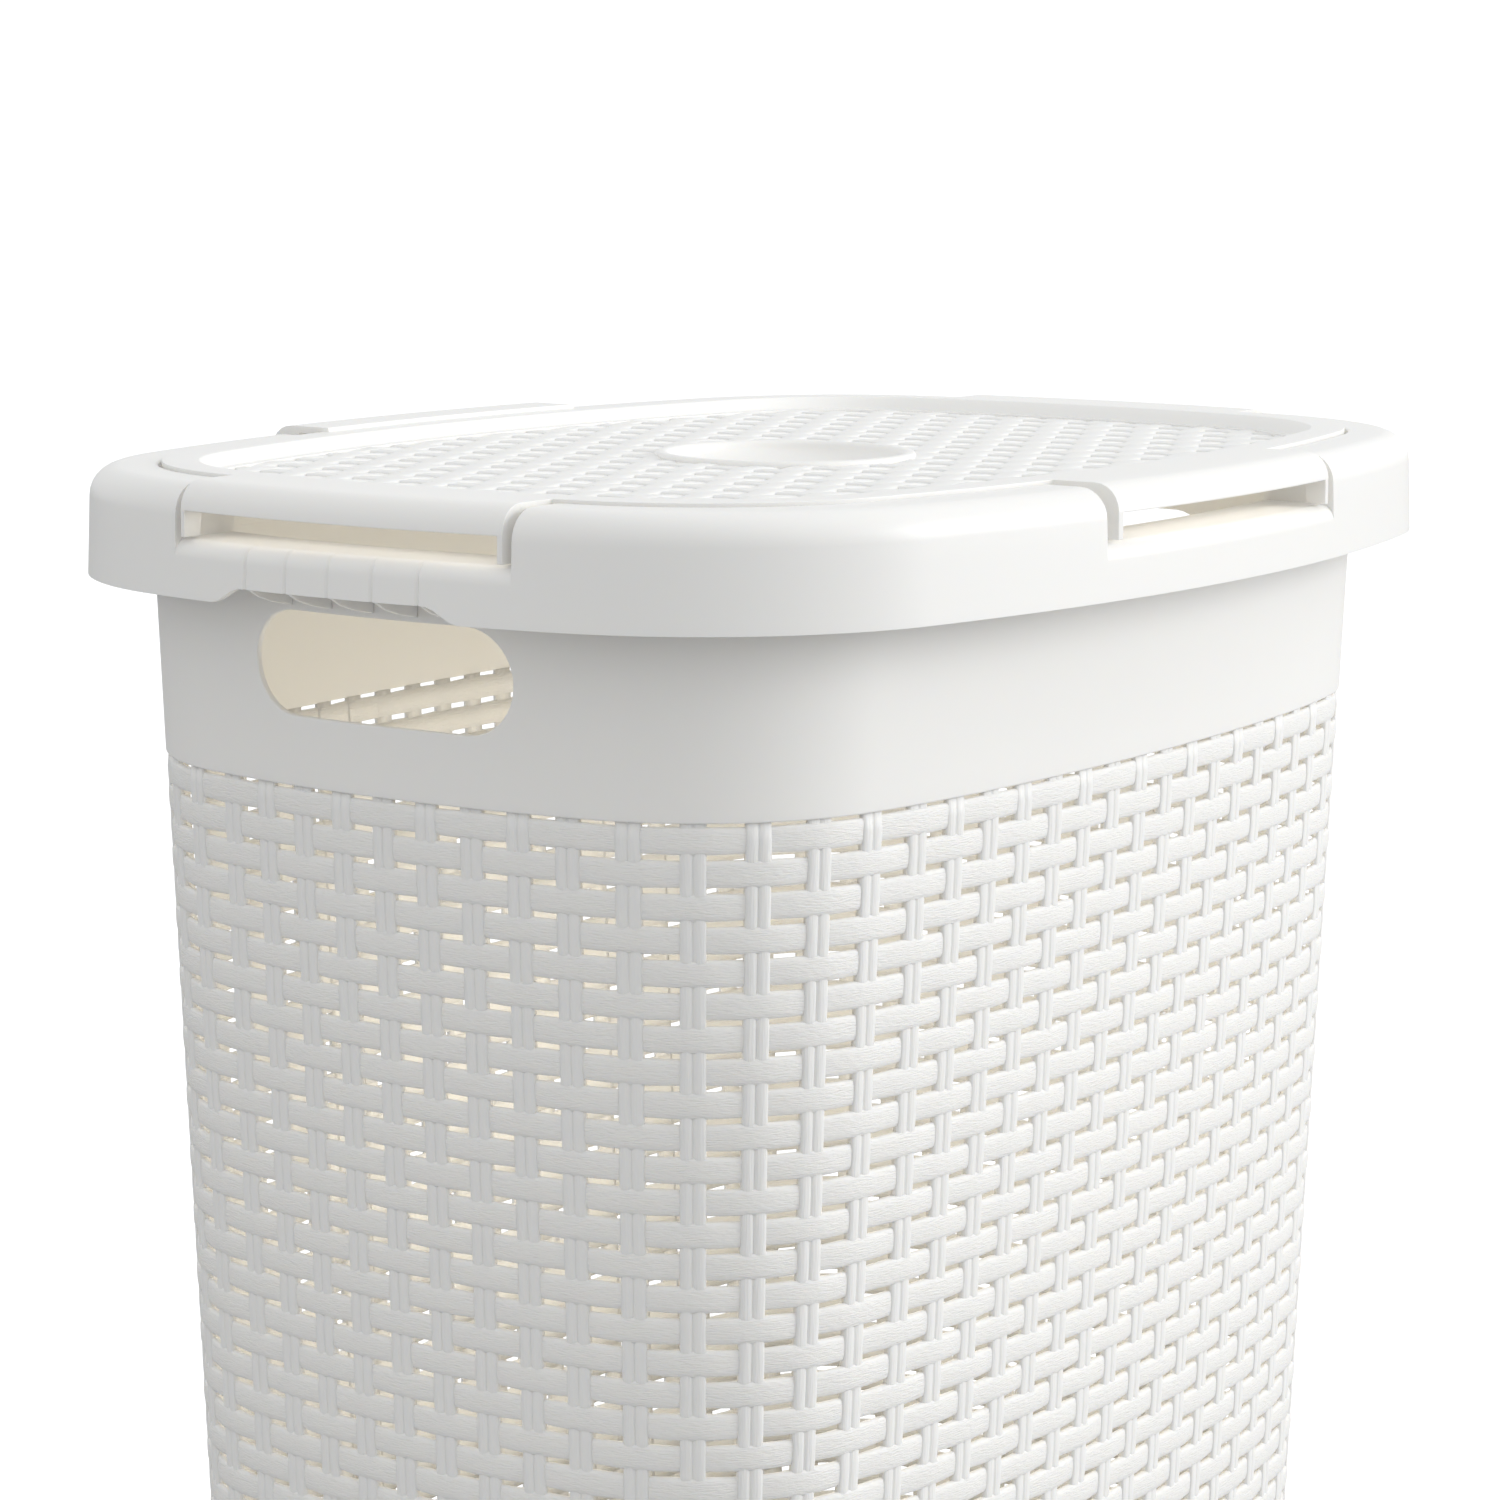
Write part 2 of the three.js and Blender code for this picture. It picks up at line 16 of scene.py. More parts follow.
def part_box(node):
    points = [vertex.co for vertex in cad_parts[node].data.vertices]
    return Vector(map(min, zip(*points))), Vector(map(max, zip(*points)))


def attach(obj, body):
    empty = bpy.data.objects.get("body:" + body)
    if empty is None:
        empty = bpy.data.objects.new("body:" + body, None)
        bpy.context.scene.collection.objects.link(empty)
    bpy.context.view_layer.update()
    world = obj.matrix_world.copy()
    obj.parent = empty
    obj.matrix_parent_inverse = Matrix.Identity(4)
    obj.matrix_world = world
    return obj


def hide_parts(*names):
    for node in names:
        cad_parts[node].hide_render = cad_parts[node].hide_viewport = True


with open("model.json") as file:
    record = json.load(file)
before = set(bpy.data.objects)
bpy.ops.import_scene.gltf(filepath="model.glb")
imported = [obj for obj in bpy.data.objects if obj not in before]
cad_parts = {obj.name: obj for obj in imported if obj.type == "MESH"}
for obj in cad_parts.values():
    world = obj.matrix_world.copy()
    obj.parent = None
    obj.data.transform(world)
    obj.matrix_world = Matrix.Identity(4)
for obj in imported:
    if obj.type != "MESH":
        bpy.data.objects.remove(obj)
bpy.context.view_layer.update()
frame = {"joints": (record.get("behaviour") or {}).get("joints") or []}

MM = 0.001

# ---- Places taken from the frame ----

RIM_LOW, RIM_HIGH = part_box("rim_collar")
LID_LOW, LID_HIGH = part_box("lid_frame")
WALL_LOW, WALL_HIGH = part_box("basket_wall")
BAND_LOW, BAND_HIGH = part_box("hand_hole_band")
BASE_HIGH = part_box("basket_base")[1]

# ---- Outline: bowed ends and long sides, joined by tangent corner arcs ----

TAB_FACE = 0.5 * MM
HALF_LENGTH = LID_HIGH.x + TAB_FACE
HALF_WIDTH = RIM_HIGH.y
LONG_SIDE_RADIUS = 640 * MM
END_RADIUS = 374 * MM
CORNER_RADIUS = 94 * MM
SIDE_RADIUS = {"end": END_RADIUS, "long": LONG_SIDE_RADIUS}
SQUARE_FADE = {"end": 45 * MM, "long": 60 * MM}

# ---- Basket ----

WALL_TAPER = (WALL_HIGH.x - BASE_HIGH.x) / (WALL_HIGH.z - BASE_HIGH.z)
WALL_INSET = HALF_LENGTH - WALL_HIGH.x
WALL_THICKNESS = 2.4 * MM
LONG_FLATTENING = 4.1 * MM
FLATTENING_HALF = 150 * MM
FLATTENING_START = RIM_LOW.z + 12 * MM
FLATTENING_FADE = 70 * MM
HOLE_HALF = 46.4 * MM
HOLE_BOTTOM = 466.8 * MM
HOLE_TOP = 497.2 * MM
PATCH_HALF = 52.4 * MM
FOOT_WIDTH = 7 * MM
FLOOR_HEIGHT = 4 * MM
FLOOR_THICKNESS = 2.5 * MM

# ---- Weave ----

ROWS = 45
ROW_PIECES = 3
END_STAKES = 4
CORNER_GAPS = 6
LONG_STAKES = 7.5
STAKES = round(4 * (END_STAKES + CORNER_GAPS + LONG_STAKES))
END_STAKE_PITCH = 15.4 * MM
LONG_STAKE_PITCH = 16.1 * MM
WAVE = 0.4 * MM
STAKE_WAVE = 0.1 * MM
STRIP_SHARE = 0.86
STRIP_PINCH = 0.05
STRIP_DEPTH = 1.9 * MM
WEAVE_BACK = 2.6 * MM
STAKE_STEP = 0.1 * MM
# Points of a bar's section that lie deeper than this are moved back to the smooth inner face.
BAR_BACK = 1 * MM
STEPS_PER_STAKE = 6

# ---- Rim collar ----

SHELL = 2.5 * MM
RIM_TOP = RIM_HIGH.z
RIM_BOTTOM = RIM_LOW.z
RIM_DRAFT = 0.8 * MM
RIM_ROUND = 9 * MM
RING_INNER = 21 * MM
RING_MIDDLE = 15 * MM
RING_EDGE = 0.4 * MM
LEDGE_INNER = 26.5 * MM
LEDGE_TOP = 530.6 * MM
LIP_OUTER = 22.3 * MM
LIP_INNER = 24.25 * MM
LIP_BOTTOM = 508 * MM
SADDLE_FLOOR = 517 * MM
SADDLE_SHOULDER = 511.8 * MM
FACE_LOW = 517.6 * MM
SHOULDER_WIDTH = 5 * MM
SHELF = (RING_MIDDLE, RING_INNER - RING_EDGE, RING_INNER, 22.6 * MM, LIP_INNER)
SADDLE_HALF = {"end": 60.5 * MM, "long": 70 * MM}
WEB_THICKNESS = 4.5 * MM
NOTCH_HALF_BOTTOM = 44.5 * MM
NOTCH_HALF_TOP = 33 * MM
NOTCH_TOP = 504.9 * MM
RIB_BOTTOM = RIM_BOTTOM - 1.6 * MM
RIB_SPACING = 15.5 * MM
RIB_PLACES = [i * RIB_SPACING for i in (-2, -1, 0, 1, 2)]
RIB_THICKNESS = 1.3 * MM
SINK_DEPTH = 0.9 * MM
SINK_WIDTH = 0.5 * MM

# ---- Lid ----

LID_TOP = RIM_TOP + 1 * MM
BACK_TAB_TOP = LID_HIGH.z
BORDER_OUTER = 22.2 * MM
TAB_JOIN = 24.7 * MM
TAB_MIDDLE = 17 * MM
BORDER_MIDDLE = 28 * MM
BORDER_INNER = 33 * MM
STEP_INNER = 36.5 * MM
FIELD_JOINT = 39 * MM
BORDER_THICKNESS = 2.7 * MM
TAB_THICKNESS = 2.4 * MM
FIELD_TOP = 529.3 * MM
LOCATING_RIB = (29.4 * MM, 31 * MM)
LOCATING_RIB_BOTTOM = 524 * MM
TAB_ROUND = 8 * MM
SLOT_TOP = 525.2 * MM
TAB_HALF = {"end": 57.8 * MM, "long": 65 * MM}
LEG_THICKNESS = {"end": 1.6 * MM, "front": 2.4 * MM, "back": 3.6 * MM}
LEG_DEPTH = 7 * MM
LEG_BOTTOM = LID_LOW.z
LEG_HEIGHTS = [SLOT_TOP, (SLOT_TOP + LEG_BOTTOM) / 2, LEG_BOTTOM]
STEP_SHARES = np.linspace(0, 1, 9)
# Cells along the lid's section: over the step and the border, over a tab, and down its leg.
BORDER_COLUMNS = 13
TAB_COLUMNS = 10
LEG_COLUMNS = 2
LID_STAKE_PITCH = 18.25 * MM
LID_ROW_PITCH = 9.15 * MM
LID_WAVE = 0.52 * MM
DISH_RADIUS = 41.5 * MM
DISH_LIP = 530.3 * MM
DISH_FLOOR = 523.4 * MM
BOWL_WIDTH = 20 * MM

# ---- Hinge ----

HINGE = Vector(frame["joints"][0]["pos_m"])
EYE_RADIUS = 5.2 * MM
PIN_RADIUS = 2 * MM
PIN_HEAD_RADIUS = 3.2 * MM
PIN_HEAD_THICKNESS = 1.5 * MM

# ---- Camera and light ----

CAMERA_PLACE = Vector((-1.05687, -0.72542, 0.64044))
CAMERA_AIM = Vector((0, 0, 0.47061))
CAMERA_LENS = 96.97
CAMERA_ROLL = math.radians(0.253)
CAMERA_SHIFT = (-0.0231, -0.0757)
FLOOR_HALF = 60
KEY_PLACE = (1.6, -2.4, 1.35)
KEY_AIM = (0, 0, 0.3)
KEY_SIZE = (1.6, 1.6)
KEY_POWER = 45
INNER_PLACE = (0, 0, 0.32)
INNER_RADIUS = 0.08
INNER_POWER = 0.47
INNER_COLOUR = (1, 0.93, 0.8)
SLOT_LIGHT_WIDTH = 16 * MM
SLOT_LIGHT_LENGTH = 108 * MM
SLOT_LIGHT_INSET = 12 * MM
SLOT_LIGHT_POWER = 0.0036
SLOT_LIGHT_COLOUR = (1, 0.95, 0.87)
WORLD_COLOUR = (0.98, 0.99, 1, 1)
WORLD_STRENGTH = 0.84
BACKGROUND_STRENGTH = 1.1


# ---- Outline geometry ----

def outline_arcs():
    """The end, corner and long-side arcs of a quarter, as (centre, radius, first angle, last angle)."""
    end_centre = np.array([HALF_LENGTH - END_RADIUS, 0])
    long_centre = np.array([0, HALF_WIDTH - LONG_SIDE_RADIUS])
    to_long = LONG_SIDE_RADIUS - CORNER_RADIUS
    to_end = END_RADIUS - CORNER_RADIUS
    span = end_centre - long_centre
    distance = np.hypot(*span)
    unit = span / distance
    along = (to_long ** 2 - to_end ** 2 + distance ** 2) / (2 * distance)
    across = math.sqrt(to_long ** 2 - along ** 2)
    corner = long_centre + along * unit + across * np.array([unit[1], -unit[0]])
    end_angle = math.atan2(corner[1], corner[0] - end_centre[0])
    long_angle = math.atan2(corner[1] - long_centre[1], corner[0])
    return [
        (end_centre, END_RADIUS, 0, end_angle),
        (corner, CORNER_RADIUS, end_angle, long_angle),
        (long_centre, LONG_SIDE_RADIUS, long_angle, math.pi / 2),
    ]


ARCS = outline_arcs()
ARC_ENDS = np.cumsum([0] + [radius * (last - first) for _, radius, first, last in ARCS])
QUARTER = ARC_ENDS[-1]


def outline(distance):
    """Points, outward normals and the signs of the quadrant at distances round the outline.
    Distances run counter-clockwise from the middle of the +X end."""
    turn, rest = np.divmod(np.asarray(distance, float) % (4 * QUARTER), QUARTER)
    rest = np.where(turn % 2 == 1, QUARTER - rest, rest)
    which = np.clip(np.searchsorted(ARC_ENDS, rest, side="right") - 1, 0, 2)
    centre = np.array([arc[0] for arc in ARCS])[which]
    radius = np.array([arc[1] for arc in ARCS])[which]
    first = np.array([arc[2] for arc in ARCS])[which]
    angle = first + (rest - ARC_ENDS[which]) / radius
    normal = np.stack([np.cos(angle), np.sin(angle)], -1)
    sign = np.stack([np.where((turn == 1) | (turn == 2), -1, 1), np.where(turn >= 2, -1, 1)], -1)
    return (centre + radius[..., None] * normal) * sign, normal * sign


def smooth(value):
    value = np.clip(value, 0, 1)
    return value * value * (3 - 2 * value)


def wall_inset(z, distance=0.0):
    """How far the wall lies inside the outline. Its long sides are flatter below the collar."""
    from_middle = np.abs(np.asarray(distance, float) % (2 * QUARTER) - QUARTER)
    bulge = np.maximum(1 - (from_middle / FLATTENING_HALF) ** 2, 0) ** 2
    flattening = LONG_FLATTENING * bulge * smooth((FLATTENING_START - z) / FLATTENING_FADE)
    return WALL_INSET + WALL_TAPER * (WALL_HIGH.z - z) + flattening


def ellipse(start, width, height, count):
    """A convex quarter from a vertical face to a flat top, as (inset, height) points."""
    angles = np.linspace(0, math.pi / 2, count)
    return [(start[0] + width * (1 - math.cos(a)), start[1] + height * math.sin(a)) for a in angles]


# ---- Rings: places round the outline that lie square to a side near its middle ----

class Ring:
    """One place round the outline. `side` is end or long, and `t` the distance from that side's middle.
    Where a section changes at once, two rings share a place and `t` lies just before and just after it."""

    def __init__(self, distance, t):
        point, normal = outline(distance)
        self.point = point
        self.distance = distance
        self.t = t
        self.side = "long" if abs(normal[1]) > abs(normal[0]) else "end"
        self.back = normal[1] > 0
        self.leg = "end" if self.side == "end" else "back" if self.back else "front"
        self.direction = self.square_direction(normal)

    def square_direction(self, normal):
        """The direction of insets: square to the side up to its saddle's end, then the normal."""
        facing = 0 if self.side == "end" else math.pi / 2
        angle = math.atan2(abs(normal[1]), abs(normal[0]))
        limit = SADDLE_HALF[self.side] + WEB_THICKNESS + 1 * MM
        lean = min(abs(angle - facing), limit / SIDE_RADIUS[self.side])
        lean *= 1 - smooth((self.t - limit) / SQUARE_FADE[self.side])
        turned = angle - lean if self.side == "end" else angle + lean
        return np.array([math.cos(turned), math.sin(turned)]) * np.where(normal < 0, -1, 1) / math.cos(lean)

    def place(self, inset, z):
        return (*(self.point - inset * self.direction), z)


def distance_along(side, t):
    """Distance round the outline from a side's middle to the place that lies `t` from the side's axis."""
    return SIDE_RADIUS[side] * math.asin(t / SIDE_RADIUS[side])


def ring_offsets(side, step):
    """(place, t) of the rings of half a side.
    Two rings lie at each place where a section changes at once."""
    half = SADDLE_HALF[side]
    legs = {"end": ("end",), "long": ("back", "front")}[side]
    jumps = [TAB_HALF[side] - LEG_THICKNESS[leg] for leg in legs]
    jumps += [TAB_HALF[side], half, half + WEB_THICKNESS]
    wanted = list(np.arange(0, jumps[0], step))
    if side == "end":
        wanted.append(PATCH_HALF)
        wanted += [place + d * SINK_WIDTH for place in RIB_PLACES for d in (-1.6, -0.8, 0, 0.8, 1.6)]
    clear = [w for w in wanted if 0 <= w < jumps[0] - 0.8 * MM]
    pairs = [(jump, jump + d) for jump in jumps for d in (-1e-6, 1e-6)]
    return sorted({(round(w, 7), round(w, 7)) for w in clear} | set(pairs))


def make_rings(step=2.6 * MM):
    """All rings, counter-clockwise from the middle of the +X end."""
    ends = [(distance_along("end", place), t) for place, t in ring_offsets("end", step)]
    inward = reversed(ring_offsets("long", step))
    longs = [(QUARTER - distance_along("long", place), t) for place, t in inward]
    between = np.linspace(ends[-1][0], longs[0][0], 60)[1:-1]
    middle = [(s, s if abs(outline(s)[1][0]) >= abs(outline(s)[1][1]) else QUARTER - s) for s in between]
    quarter = ends + middle + longs
    rings = []
    for turn in (0, 2):
        rings += [(turn * QUARTER + s, t) for s, t in quarter[:-1]]
        rings += [((turn + 2) * QUARTER - s, t) for s, t in reversed(quarter[1:])]
    return [Ring(s, t) for s, t in rings]


RINGS = make_rings()


# ---- Meshes ----

def new_object(name, vertices, faces):
    """An object from points and faces, with coincident points merged and every face turned outwards."""
    mesh = bpy.data.meshes.new(name)
    mesh.from_pydata(np.asarray(vertices, float).reshape(-1, 3).tolist(), [], faces)
    shape = bmesh.new()
    shape.from_mesh(mesh)
    bmesh.ops.remove_doubles(shape, verts=shape.verts, dist=2e-6)
    bmesh.ops.dissolve_degenerate(shape, edges=shape.edges, dist=1e-6)
    bmesh.ops.recalc_face_normals(shape, faces=shape.faces)
    shape.to_mesh(mesh)
    shape.free()
    mesh.shade_smooth()
    obj = bpy.data.objects.new(name, mesh)
    bpy.context.scene.collection.objects.link(obj)
    return obj


def quads(start, rows, columns, wrap_rows, wrap_columns):
    """Faces of a grid of points, numbered row by row from `start`."""
    i = np.arange(rows if wrap_rows else rows - 1)
    j = np.arange(columns if wrap_columns else columns - 1)
    i, j = np.meshgrid(i, j, indexing="ij")
    after_i = (i + 1) % rows
    after_j = (j + 1) % columns
    corners = [i * columns + j, after_i * columns + j, after_i * columns + after_j, i * columns + after_j]
    return (start + np.stack(corners, -1).reshape(-1, 4)).tolist()


def bars(name, grids, closed):
    """One object from bars. Each is an array of sections x points x 3; open bars get an end face."""
    vertices = []
    faces = []
    start = 0
    for grid in grids:
        rows, columns = grid.shape[:2]
        vertices.append(grid.reshape(-1, 3))
        faces += quads(start, rows, columns, closed, True)
        if not closed:
            faces.append(list(range(start, start + columns)))
            last = start + (rows - 1) * columns
            faces.append(list(range(last, last + columns)))
        start += rows * columns
    return new_object(name, np.concatenate(vertices), faces)


def shell(name, outer, inner, faces):
    """A thin moulding between two surfaces that share their faces. Free edges get a rim."""
    outer = outer.reshape(-1, 3)
    inner = inner.reshape(-1, 3)
    _, keep, same = np.unique(np.round(np.hstack([outer, inner]), 7), axis=0,
                              return_index=True, return_inverse=True)
    same = same.reshape(-1)
    count = len(keep)
    cells = []
    uses = {}
    for face in faces:
        corners = [int(same[k]) for k in face]
        corners = [c for c, following in zip(corners, corners[1:] + corners[:1]) if c != following]
        if len(corners) < 3:
            continue
        cells.append(corners)
        cells.append([c + count for c in corners])
        for a, b in zip(corners, corners[1:] + corners[:1]):
            key = (min(a, b), max(a, b))
            uses[key] = uses.get(key, 0) + 1
    rims = [[a, b, b + count, a + count] for (a, b), times in uses.items() if times == 1]
    used = sorted({a for cell in cells for a in cell})
    number = {a: k for k, a in enumerate(used)}
    vertices = np.concatenate([outer[keep], inner[keep]])[used]
    return new_object(name, vertices, [[number[a] for a in face] for face in cells + rims])


def soften(obj, width, segments=2, angle=38):
    """Rounds the sharp edges of a moulding."""
    bevel = obj.modifiers.new("edge", "BEVEL")
    bevel.width = width
    bevel.segments = segments
    bevel.limit_method = "ANGLE"
    bevel.angle_limit = math.radians(angle)
    normals = obj.modifiers.new("normals", "WEIGHTED_NORMAL")
    normals.keep_sharp = True
    graph = bpy.context.evaluated_depsgraph_get()
    mesh = bpy.data.meshes.new_from_object(obj.evaluated_get(graph), depsgraph=graph)
    obj.modifiers.clear()
    obj.data = mesh
    return obj


def ring_grid(profile, rings=RINGS):
    """Places a profile function's (inset, height) points on every ring."""
    return np.array([[ring.place(*point) for point in profile(ring)] for ring in rings])


def lathe(name, points, centre, axis, steps=96):
    """A turned solid from (radius, distance along the axis) points that start and end on the axis.
    Its edges of more than 50 degrees stay sharp."""
    axis = Vector(axis)
    side = axis.orthogonal().normalized()
    other = axis.cross(side)
    rows = []
    for k in range(steps):
        angle = 2 * math.pi * k / steps
        away = side * math.cos(angle) + other * math.sin(angle)
        rows.append([centre + axis * h + away * r for r, h in points])
    grid = np.array(rows)
    turned = new_object(name, grid.reshape(-1, 3), quads(0, steps, len(points), True, False))
    turned.data.set_sharp_from_angle(angle=math.radians(50))
    return turned


# ---- Materials ----

def node(tree, kind, **values):
    made = tree.nodes.new(kind)
    for key, value in values.items():
        setattr(made, key, value)
    return made


def plastic(name, colour, roughness, grain=(400, 400, 400), depth=0.02, tint=0.02, translucency=0.2):
    """Moulded polypropylene: satin, a little translucent, with a fine grain in the bump and in the gloss."""
    material = bpy.data.materials.new(name)
    material.use_nodes = True
    tree = material.node_tree
    shader = tree.nodes["Principled BSDF"]
    shader.inputs["IOR"].default_value = 1.49
    shader.inputs["Subsurface Weight"].default_value = translucency
    shader.inputs["Subsurface Radius"].default_value = (1.0, 0.85, 0.65)
    shader.inputs["Subsurface Scale"].default_value = 3 * MM

    place = node(tree, "ShaderNodeTexCoord")
    stretch = node(tree, "ShaderNodeMapping")
    stretch.inputs["Scale"].default_value = grain
    tree.links.new(place.outputs["Object"], stretch.inputs["Vector"])
    fine = node(tree, "ShaderNodeTexNoise")
    fine.inputs["Scale"].default_value = 1
    fine.inputs["Detail"].default_value = 3
    tree.links.new(stretch.outputs["Vector"], fine.inputs["Vector"])

    broad = node(tree, "ShaderNodeTexNoise")
    broad.inputs["Scale"].default_value = 9
    broad.inputs["Detail"].default_value = 2
    tree.links.new(place.outputs["Object"], broad.inputs["Vector"])

    paint = node(tree, "ShaderNodeMix", data_type="RGBA")
    paint.inputs["A"].default_value = (*[c * (1 - tint) for c in colour], 1)
    paint.inputs["B"].default_value = (*colour, 1)
    tree.links.new(broad.outputs["Fac"], paint.inputs["Factor"])
    tree.links.new(paint.outputs["Result"], shader.inputs["Base Color"])

    gloss = node(tree, "ShaderNodeMapRange")
    gloss.inputs["To Min"].default_value = roughness - 0.05
    gloss.inputs["To Max"].default_value = roughness + 0.05
    tree.links.new(fine.outputs["Fac"], gloss.inputs["Value"])
    tree.links.new(gloss.outputs["Result"], shader.inputs["Roughness"])

    bump = node(tree, "ShaderNodeBump")
    bump.inputs["Strength"].default_value = 1
    bump.inputs["Distance"].default_value = depth * MM
    tree.links.new(fine.outputs["Fac"], bump.inputs["Height"])
    tree.links.new(bump.outputs["Normal"], shader.inputs["Normal"])
    return material


def floor_paper():
    """The matt white paper that the hamper stands on. It throws less light back than it shows."""
    material = bpy.data.materials.new("studio_paper")
    material.use_nodes = True
    tree = material.node_tree
    shader = tree.nodes["Principled BSDF"]
    shader.inputs["Roughness"].default_value = 0.9
    shader.inputs["Specular IOR Level"].default_value = 0.1
    place = node(tree, "ShaderNodeTexCoord")
    speckle = node(tree, "ShaderNodeTexNoise")
    speckle.inputs["Scale"].default_value = 60
    tree.links.new(place.outputs["Object"], speckle.inputs["Vector"])
    paint = node(tree, "ShaderNodeMix", data_type="RGBA")
    paint.inputs["A"].default_value = (0.93, 0.93, 0.93, 1)
    paint.inputs["B"].default_value = (0.95, 0.95, 0.95, 1)
    tree.links.new(speckle.outputs["Fac"], paint.inputs["Factor"])
    tree.links.new(paint.outputs["Result"], shader.inputs["Base Color"])
    shader.inputs["Emission Color"].default_value = (1, 1, 1, 1)
    shader.inputs["Emission Strength"].default_value = 0.4

    bounce = node(tree, "ShaderNodeBsdfDiffuse")
    bounce.inputs["Color"].default_value = (0.45, 0.45, 0.45, 1)
    ray = node(tree, "ShaderNodeLightPath")
    choose = node(tree, "ShaderNodeMixShader")
    tree.links.new(ray.outputs["Is Camera Ray"], choose.inputs["Fac"])
    tree.links.new(bounce.outputs["BSDF"], choose.inputs[1])
    tree.links.new(shader.outputs["BSDF"], choose.inputs[2])
    tree.links.new(choose.outputs["Shader"], tree.nodes["Material Output"].inputs["Surface"])
    return material


WHITE = (0.93, 0.92, 0.895)
SMOOTH_PLASTIC = plastic("basket_white", WHITE, 0.42)
STRIP_PLASTIC = plastic("strip_white", WHITE, 0.45, grain=(380, 380, 2300), depth=0.32)
STAKE_PLASTIC = plastic("stake_white", WHITE, 0.45, grain=(1500, 1500, 90), depth=0.2)
RIM_PLASTIC = plastic("rim_white", WHITE, 0.36)
LID_PLASTIC = plastic("lid_white", WHITE, 0.36)
LID_STRIP_PLASTIC = plastic("lid_strip_white", WHITE, 0.45, grain=(60, 1100, 1100), depth=0.08)
LID_STAKE_PLASTIC = plastic("lid_stake_white", WHITE, 0.45, grain=(1300, 60, 1300), depth=0.08)
PIN_PLASTIC = plastic("pin_white", (0.84, 0.84, 0.82), 0.32)


def finish_piece(obj, material, body, slot, *nodes):
    obj.data.materials.clear()
    obj.data.materials.append(material)
    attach(obj, body)
    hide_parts(*nodes)


# ---- Woven wall ----

def strip_section(height):
    """A flat strip with a slight crown and rounded edges, as (depth behind the face, height) points."""
    half = height / 2
    return np.array([
        (0, 0),
        (0.06 * MM, half * 0.5),
        (0.22 * MM, half - 0.85 * MM),
        (0.5 * MM, half - 0.3 * MM),
        (1.1 * MM, half),
        (STRIP_DEPTH, half - 0.3 * MM),
        (STRIP_DEPTH, 0.3 * MM - half),
        (1.1 * MM, -half),
        (0.5 * MM, 0.3 * MM - half),
        (0.22 * MM, 0.85 * MM - half),
        (0.06 * MM, -half * 0.5),
    ])


def stake_section():
    """A stake of two rounded ribs with a groove between them, as (sideways, depth) points."""
    right = [(0.35, 0.1), (0.8, -0.06), (1.9, -0.1), (3.1, 0.04), (3.6, 0.4), (3.7, 1.8)]
    left = [(-x, d) for x, d in reversed(right)]
    return np.array([(0, 0.4)] + right + left) * MM


def wall_distance(index):
    """Distance round the outline at a stake number, counted from the middle of the +X end.
    Fractions lie between the stakes."""
    fine = np.linspace(0, QUARTER, 2001)
    radius = np.array([arc[1] for arc in ARCS])[np.clip(np.searchsorted(ARC_ENDS, fine) - 1, 0, 2)]
    shrink = 1 - WALL_INSET / radius
    on_wall = np.concatenate([[0], np.cumsum((shrink[1:] + shrink[:-1]) / 2 * np.diff(fine))])
    in_quarter = END_STAKES + CORNER_GAPS + LONG_STAKES
    turn, rest = np.divmod(np.asarray(index, float), in_quarter)
    rest = np.where(turn % 2 == 1, in_quarter - rest, rest)
    knots = [0, END_STAKES, END_STAKES + CORNER_GAPS, in_quarter]
    places = [0, END_STAKES * END_STAKE_PITCH, on_wall[-1] - LONG_STAKES * LONG_STAKE_PITCH, on_wall[-1]]
    within = np.interp(np.interp(rest, knots, places), on_wall, fine)
    return np.where(turn % 2 == 1, (turn + 1) * QUARTER - within, turn * QUARTER + within)


def wall_points(distance, depth, z, sideways=0.0):
    """Points of the wall at a depth behind its outer face, moved sideways along the face."""
    point, normal = outline(distance)
    inset = (wall_inset(z, distance) + depth)[..., None]
    tangent = np.stack([-normal[..., 1], normal[..., 0]], -1)
    plan = point - inset * normal + tangent * np.asarray(sideways)[..., None]
    return np.concatenate([plan, np.broadcast_to(z, plan.shape[:-1])[..., None]], -1)


def wall_strip(row, pitch):
    """One ring of the weave, which passes in front of every other stake."""
    index = np.arange(STAKES * STEPS_PER_STAKE) / STEPS_PER_STAKE
    wave = -np.cos(math.pi * (index + row))[:, None]
    section = strip_section(pitch * STRIP_SHARE)[None]
    middle = WALL_HIGH.z - (row + 0.5) * pitch
    z = middle + section[..., 1] * (1 - STRIP_PINCH * (1 - wave) / 2)
    face = WAVE * (1 - wave)
    behind = section[..., 0]
    depth = face + np.where(behind > BAR_BACK, (WEAVE_BACK - face) * behind / STRIP_DEPTH, behind)
    return wall_points(np.broadcast_to(wall_distance(index)[:, None], z.shape), depth, z)


def wall_stake(number, pitch):
    """One upright. Its ends are tucked behind the band and the foot."""
    half_rows = np.arange(2 * ROWS + 1)
    z = WALL_HIGH.z - half_rows * pitch / 2
    z[0] = WALL_HIGH.z + 0.5 * MM
    z[-1] = WALL_LOW.z - 0.5 * MM
    row = (half_rows - 1) / 2
    out = np.where(half_rows % 2 == 1, np.cos(math.pi * (number + row)), 0)[:, None]
    tucked = np.where((half_rows == 0) | (half_rows == 2 * ROWS), 0.5 * MM, 0)[:, None]
    behind = stake_section()[None, :, 1]
    depth = np.where(behind > BAR_BACK, WEAVE_BACK - STAKE_STEP, WAVE - STAKE_WAVE * out + tucked + behind)
    z = np.broadcast_to(z[:, None], depth.shape)
    distance = np.full(z.shape, wall_distance(number))
    return wall_points(distance, depth, z, np.broadcast_to(stake_section()[None, :, 0], z.shape))


